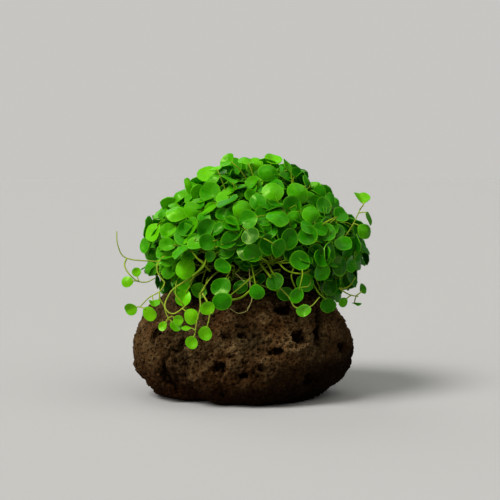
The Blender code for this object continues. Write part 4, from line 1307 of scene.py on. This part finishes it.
def add_roots(strands, stone, luck):
    """Roots that feel their way from the crown over the stone."""
    tree = BVHTree.FromPolygons([corner.co for corner in stone.data.vertices],
                                [list(face.vertices) for face in stone.data.polygons])
    for number in range(ROOT_COUNT):
        azimuth = SPIRAL_TURN * number + luck.uniform(*ROOT_SWAYS)
        points = []
        for step in range(ROOT_STEPS):
            out = Vector((math.cos(azimuth), math.sin(azimuth), 0.0))
            spot = CROWN_PLACE + out * (ROOT_START + ROOT_STRIDE * step) * CROWN_SIZE.x
            hit = tree.ray_cast(Vector((spot.x, spot.y, ABOVE_ALL)), -UP)[0]
            points.append(hit + UP * (luck.uniform(*ROOT_LIFTS) * MM))
            azimuth += luck.uniform(*ROOT_TURNS)
        add_strand(strands, smooth_route(points, STRAND_PIECES), ROOT_RADIUS, ROOT_RADIUS * ROOT_TAPER)


def grow_crown(stone, looks):
    """The crown: a knot of creeping stems over a dark core, and its roots."""
    luck = random.Random(CROWN_SEED)
    core = crown_core(looks["root_core"])
    strands = new_strands("creeping_stems")
    add_creepers(strands, luck)
    add_roots(strands, stone, luck)
    tangle = strands_to_mesh(strands, looks["root"])
    choose(core, tangle)
    bpy.ops.object.join()
    return finish_piece(core, "rooting_crown", "root_crown")


def hang_threads(looks):
    """The bare stems and hair-thin roots that show under the dome's front."""
    for name, kind, slot, threads in (("bare_stems", "leaf_stem", "leaf", BARE_STEMS),
                                      ("root_threads", "pale_root", "root", ROOT_THREADS)):
        strands = new_strands(name)
        for first_radius, last_radius, points in threads:
            route = smooth_route([seen(*point) for point in points])
            add_strand(strands, route, first_radius * MM, last_radius * MM)
        finish_piece(strands_to_mesh(strands, looks[kind]), name, None)


# Materials

class Wiring:
    """Adds nodes to a node tree, each already joined to what it reads."""

    def __init__(self, tree):
        self.tree = tree

    def add(self, kind, sockets, **settings):
        """A node whose sockets take a value or another node's output."""
        made = self.tree.nodes.new(kind)
        for name, value in settings.items():
            setattr(made, name, value)
        for name, value in sockets.items():
            if isinstance(value, bpy.types.NodeSocket):
                self.tree.links.new(value, made.inputs[name])
            else:
                made.inputs[name].default_value = value
        return made

    def group(self, effect, **sockets):
        """The outputs of a node group placed in the tree."""
        return self.add("ShaderNodeGroup", sockets, node_tree=effect).outputs

    def math(self, operation, first, second=0.0):
        return self.add("ShaderNodeMath", {0: first, 1: second}, operation=operation).outputs[0]

    def plus(self, first, second):
        return self.math("ADD", first, second)

    def minus(self, first, second):
        return self.math("SUBTRACT", first, second)

    def times(self, first, second):
        return self.math("MULTIPLY", first, second)

    def most(self, found, *parts):
        """The largest of some outputs."""
        for part in parts:
            found = self.math("MAXIMUM", found, part)
        return found

    def blend(self, share, first, second):
        """Mix two colours."""
        made = self.add("ShaderNodeMix", {0: share, 6: opaque(first), 7: opaque(second)}, data_type="RGBA")
        return made.outputs[2]

    def ramp(self, share, low, high):
        """0 below low, 1 above high, and an even rise between them."""
        made = self.add("ShaderNodeMapRange", {"Value": share, "From Min": low, "From Max": high})
        return made.outputs["Result"]

    def fall(self, share, low, high):
        """1 below low, 0 above high, and an even fall between them."""
        return self.minus(1.0, self.ramp(share, low, high))

    def colours(self, share, stops):
        """A colour ramp with these stops."""
        made = self.add("ShaderNodeValToRGB", {"Fac": share})
        steps = made.color_ramp.elements
        for number, (place, colour) in enumerate(stops):
            step = steps[number] if number < 2 else steps.new(place)
            step.position = place
            step.color = opaque(colour)
        return made.outputs["Color"]

    def bump(self, height, strength, distance):
        """The normal of a surface with this relief."""
        made = self.add("ShaderNodeBump", {"Height": height, "Strength": strength, "Distance": distance})
        return made.outputs["Normal"]

    def skin(self, colour, roughness, normal, shine, tint):
        """A surface with a sheen of its own tint."""
        made = self.add("ShaderNodeBsdfPrincipled", {
            "Base Color": colour, "Roughness": roughness, "Normal": normal, "Specular IOR Level": shine,
            "Specular Tint": opaque(tint),
        })
        return made.outputs[0]

    def finish(self, surface):
        """Let the material show a surface."""
        self.add("ShaderNodeOutputMaterial", {"Surface": surface})


def opaque(colour):
    """A colour with its alpha, or the output that a colour is read from, as it is."""
    return (*colour, 1.0) if isinstance(colour, tuple) else colour


def new_group(name, inputs, outputs):
    """A shader node group with float or vector inputs and float outputs, and its wiring."""
    group = bpy.data.node_groups.new(name, "ShaderNodeTree")
    for socket, kind in inputs:
        group.interface.new_socket(name=socket, in_out="INPUT", socket_type=kind)
    for socket in outputs:
        group.interface.new_socket(name=socket, in_out="OUTPUT", socket_type="NodeSocketFloat")
    start = group.nodes.new("NodeGroupInput")
    end = group.nodes.new("NodeGroupOutput")
    return group, Wiring(group), start.outputs, end.inputs


def group_mottle():
    """Soft patches from 0 to 1, for leaves, stems, roots and stone."""
    group, wires, reads, gives = new_group(
        "mottle", (("Place", "NodeSocketVector"), ("Scale", "NodeSocketFloat")), ("Patch",))
    cloud = wires.add("ShaderNodeTexNoise", {
        "Vector": reads["Place"], "Scale": reads["Scale"], "Detail": 4.0, "Roughness": 0.6,
    })
    group.links.new(wires.ramp(cloud.outputs["Fac"], *PATCH_EDGES), gives["Patch"])
    return group


def group_pores():
    """Small open pores: how deep a place lies in one, from 0 to 1."""
    group, wires, reads, gives = new_group(
        "pores", (("Place", "NodeSocketVector"), ("Scale", "NodeSocketFloat"), ("Size", "NodeSocketFloat")),
        ("Depth",))
    cells = wires.add("ShaderNodeTexVoronoi", {"Vector": reads["Place"], "Scale": reads["Scale"]})
    depth = wires.math("DIVIDE", cells.outputs["Distance"], reads["Size"])
    group.links.new(wires.fall(depth, *PORE_EDGES), gives["Depth"])
    return group


def group_blade_marks():
    """A blade's marks, read from its UV map: its thin pale rim, a painted highlight, its midrib and its faint
    side veins.
    """
    group, wires, reads, gives = new_group(
        "blade_marks", (("Laid", "NodeSocketVector"),), ("RimHighlight", "Midrib", "Veins"))
    parts = wires.add("ShaderNodeSeparateXYZ", {"Vector": reads["Laid"]}).outputs
    across = wires.math("DIVIDE", wires.minus(parts["X"], 0.5), UV_SHARE)
    ahead = wires.math("DIVIDE", wires.minus(parts["Y"], UV_HEEL), UV_SHARE)
    side, forward = (wires.math("ABSOLUTE", part) for part in (across, wires.minus(ahead, 1.0)))
    squares = (wires.math("POWER", part, 2.0) for part in (side, forward))
    out = wires.math("POWER", wires.plus(*squares), 0.5)
    group.links.new(wires.ramp(out, *RIM_HIGHLIGHT_EDGES), gives["RimHighlight"])
    midrib = wires.times(wires.fall(side, *MIDRIB_WIDTH), wires.fall(ahead, *MIDRIB_END))
    group.links.new(midrib, gives["Midrib"])
    angle = wires.math("ARCTAN2", across, wires.plus(ahead, VEIN_ORIGIN))
    wave = wires.math("ABSOLUTE", wires.math("SINE", wires.times(angle, VEIN_RATE)))
    veins = wires.times(wires.fall(wave, *VEIN_WIDTH), wires.fall(out, *VEIN_FADE))
    group.links.new(veins, gives["Veins"])
    return group


def new_material(name):
    """A material with an empty tree, and its wiring."""
    material = bpy.data.materials.new(name)
    material.use_nodes = True
    material.node_tree.nodes.clear()
    return material, Wiring(material.node_tree)


def leaf_material(name, greens, groups):
    """A blade: pale to deep green by its own tone, which carries painted light and shade, with a painted
    highlight on its rim and light coming through it.
    """
    material, wires = new_material(name)
    place = wires.add("ShaderNodeTexCoord", {}).outputs
    # The leaf's tone, which carries its painted light and shade
    tone = wires.add("ShaderNodeAttribute", {}, attribute_name="leaf_tone_and_shade").outputs["Fac"]
    patch = wires.group(groups["mottle"], Place=place["Object"], Scale=LEAF_PATCHES)["Patch"]
    marks = wires.group(groups["blade_marks"], Laid=place["UV"])
    shade = wires.plus(tone, wires.times(wires.minus(patch, 0.5), LEAF_MOTTLE))
    # The rim's paleness is a painted highlight; the midrib's and the veins' is their own
    pale = wires.most(*(wires.times(marks[mark], share) for mark, share in MARK_SHARES))
    colour = wires.blend(pale, wires.colours(shade, greens), PALE_GREEN)
    height = wires.plus(*(wires.times(marks[mark], share) for mark, share in MARK_HEIGHTS))
    height = wires.plus(height, wires.times(patch, PATCH_HEIGHT))
    normal = wires.bump(height, *LEAF_BUMP)
    gloss = wires.plus(LEAF_ROUGHNESS, wires.times(patch, PATCH_GLOSS))
    skin = wires.skin(colour, gloss, normal, LEAF_SHINE, GLOSS_TINT)
    through = wires.add("ShaderNodeBsdfTranslucent", {"Color": colour, "Normal": normal}).outputs[0]
    both = wires.add("ShaderNodeMixShader", {0: LEAF_THROUGH, 1: skin, 2: through})
    wires.finish(both.outputs[0])
    return material


def stem_material(name, young, old, roughness, groups):
    """A stem, stalk or root: two colours in patches, with fine unevenness."""
    material, wires = new_material(name)
    place = wires.add("ShaderNodeTexCoord", {}).outputs["Object"]
    patch, grain = (wires.group(groups["mottle"], Place=place, Scale=scale)["Patch"]
                    for scale in STEM_PATCHES)
    normal = wires.bump(grain, *STEM_BUMP)
    gloss = wires.plus(roughness, wires.times(grain, PATCH_GLOSS))
    wires.finish(wires.skin(wires.blend(patch, young, old), gloss, normal, STEM_SHINE, GLOSS_TINT))
    return material


def stone_material(groups):
    """Porous lava: brown, rusty and grey in patches, lighter on its ridges with pale specks and painted
    light, nearly black with painted shade in its hollows, pores and underside, and a deeper red darkened by
    painted shade at its foot.
    """
    material, wires = new_material("porous_lava")
    place = wires.add("ShaderNodeTexCoord", {}).outputs["Object"]
    parts = wires.add("ShaderNodeSeparateXYZ", {"Vector": place}).outputs
    relief = wires.add("ShaderNodeAttribute", {}, attribute_name="relief").outputs["Fac"]
    # Painted shade in hollows and creases, painted light on crests
    hollow = wires.fall(relief, *HOLLOW_RELIEF)
    crest = wires.ramp(relief, *CREST_RELIEF)
    broad, middle, grain = (wires.group(groups["mottle"], Place=place, Scale=scale)["Patch"]
                            for scale in STONE_PATCHES)
    pores = wires.group(groups["pores"], Place=place, Scale=FINE_PORES, Size=FINE_PORE_SIZE)["Depth"]
    # Pale specks of the stone's own grain, and painted light on its crests
    ridge = wires.times(wires.plus(LEVEL_PALENESS, crest), wires.times(middle, grain))
    ground = wires.blend(broad, STONE_RUST, STONE_GREY)
    lit = wires.blend(wires.times(ridge, PALE_SHARE), ground, STONE_PALE)
    # Painted shade near the floor: the foot a darker, deeper red
    foot = wires.fall(parts["Z"], *FOOT_RISE)
    lit = wires.blend(wires.times(foot, FOOT_STRENGTH), lit, STONE_FOOT)
    # Painted shade under the stone, reaching higher towards the right
    level = wires.minus(parts["Z"], wires.times(parts["X"], UNDERSIDE_LEAN))
    under = wires.fall(level, *UNDERSIDE)
    # Painted shade in hollows, pores and under the stone
    painted_shade = wires.most(hollow, wires.times(pores, PAINTED_PORE_SHADE), wires.times(under, PAINTED_UNDERSIDE_SHADE))
    height = wires.minus(wires.times(grain, GRAIN_RELIEF), pores)
    height = wires.plus(height, wires.times(middle, MIDDLE_RELIEF))
    normal = wires.bump(height, *STONE_BUMP)
    gloss = wires.minus(STONE_ROUGHNESS, wires.times(ridge, RIDGE_GLOSS))
    wires.finish(wires.skin(wires.blend(painted_shade, lit, STONE_DARK), gloss, normal, STONE_SHINE, STONE_SHEEN))
    return material


def floor_material():
    """A plain pale floor."""
    material, wires = new_material("pale_floor")
    skin = wires.add("ShaderNodeBsdfPrincipled", {
        "Base Color": opaque(FLOOR_COLOUR), "Roughness": 0.8, "Specular IOR Level": 0.2,
    })
    wires.finish(skin.outputs[0])
    return material


def make_looks():
    """Every material by its short name."""
    groups = {"mottle": group_mottle(), "pores": group_pores(), "blade_marks": group_blade_marks()}
    looks = {
        "leaf": leaf_material("leaf_green", LEAF_GREENS, groups),
        "runner": leaf_material("runner_green", RUNNER_GREENS, groups),
    }
    for look, name, young, old, roughness in STEM_LOOKS:
        looks[look] = stem_material(name, young, old, roughness, groups)
    looks["stone"] = stone_material(groups)
    return looks


# The studio

def add_light(name, place, angle, power, colour):
    """Soft even light that comes from a place towards the middle of the plant."""
    lamp = bpy.data.lights.new(name, "SUN")
    lamp.angle = math.radians(angle)
    lamp.energy = power
    lamp.color = colour
    light = new_object(name, lamp)
    light.location = place
    light.rotation_euler = (LIT_PLACE - Vector(place)).to_track_quat("-Z", "Y").to_euler()


def lay_floor():
    """A plain pale floor, a hair below the stone's foot."""
    bpy.ops.object.select_all(action="DESELECT")
    bpy.ops.mesh.primitive_plane_add(size=FLOOR_SIZE, location=(0.0, 0.0, -FLOOR_GAP))
    floor = bpy.context.object
    floor.name = "studio_floor"
    floor.data.materials.append(floor_material())


def hang_sky():
    """An even sky that is brighter to the camera than the light it gives."""
    world = bpy.data.worlds.new("studio")
    world.use_nodes = True
    wires = Wiring(world.node_tree)
    seen_by = wires.add("ShaderNodeLightPath", {}).outputs["Is Camera Ray"]
    strength = wires.add("ShaderNodeMapRange", {"Value": seen_by, "To Min": SKY_LIGHT, "To Max": SKY_SEEN})
    backdrop = world.node_tree.nodes["Background"]
    backdrop.inputs["Color"].default_value = opaque(SKY_COLOUR)
    world.node_tree.links.new(strength.outputs["Result"], backdrop.inputs["Strength"])
    bpy.context.scene.world = world
    bpy.context.scene.view_settings.view_transform = "Standard"


def set_camera():
    """The camera, where the picture was taken from."""
    lens = bpy.data.cameras.new("front_view")
    lens.lens = CAMERA_LENS
    lens.sensor_width = CAMERA_SENSOR
    lens.clip_start = CAMERA_CLIP
    camera = new_object("front_view", lens)
    camera.location = EYE
    camera.rotation_euler = (math.radians(90.0 - CAMERA_PITCH), 0.0, 0.0)
    bpy.context.scene.camera = camera


def build():
    """Dress the whole part and set up the studio round it."""
    looks = make_looks()
    runners, stems, crowd = plan_plant()
    fillers = plan_fillers(stems, crowd)
    forms = model_blades(looks["leaf"])
    runner_forms = model_blades(looks["runner"])
    luck = random.Random(SHOOT_SEED)
    for number, (stem, extra) in enumerate(zip(stems, fillers), 1):
        name = f"sprig_{number:02d}"
        grow_shoot(name, [stem.points], STEM_RADIUS, stem.leaves, extra, forms, looks, "leaf", luck)
    for name, (routes, leaves) in runners.items():
        grow_shoot(name, routes, RUNNER_RADIUS, leaves, [], runner_forms, looks, "runner", luck)
    for form in sum(forms + runner_forms, []):
        bpy.data.objects.remove(form)
    stone = roughen_stone(looks["stone"])
    grow_crown(stone, looks)
    hang_threads(looks)
    lay_floor()
    for light in LIGHTS:
        add_light(*light)
    hang_sky()
    set_camera()


build()
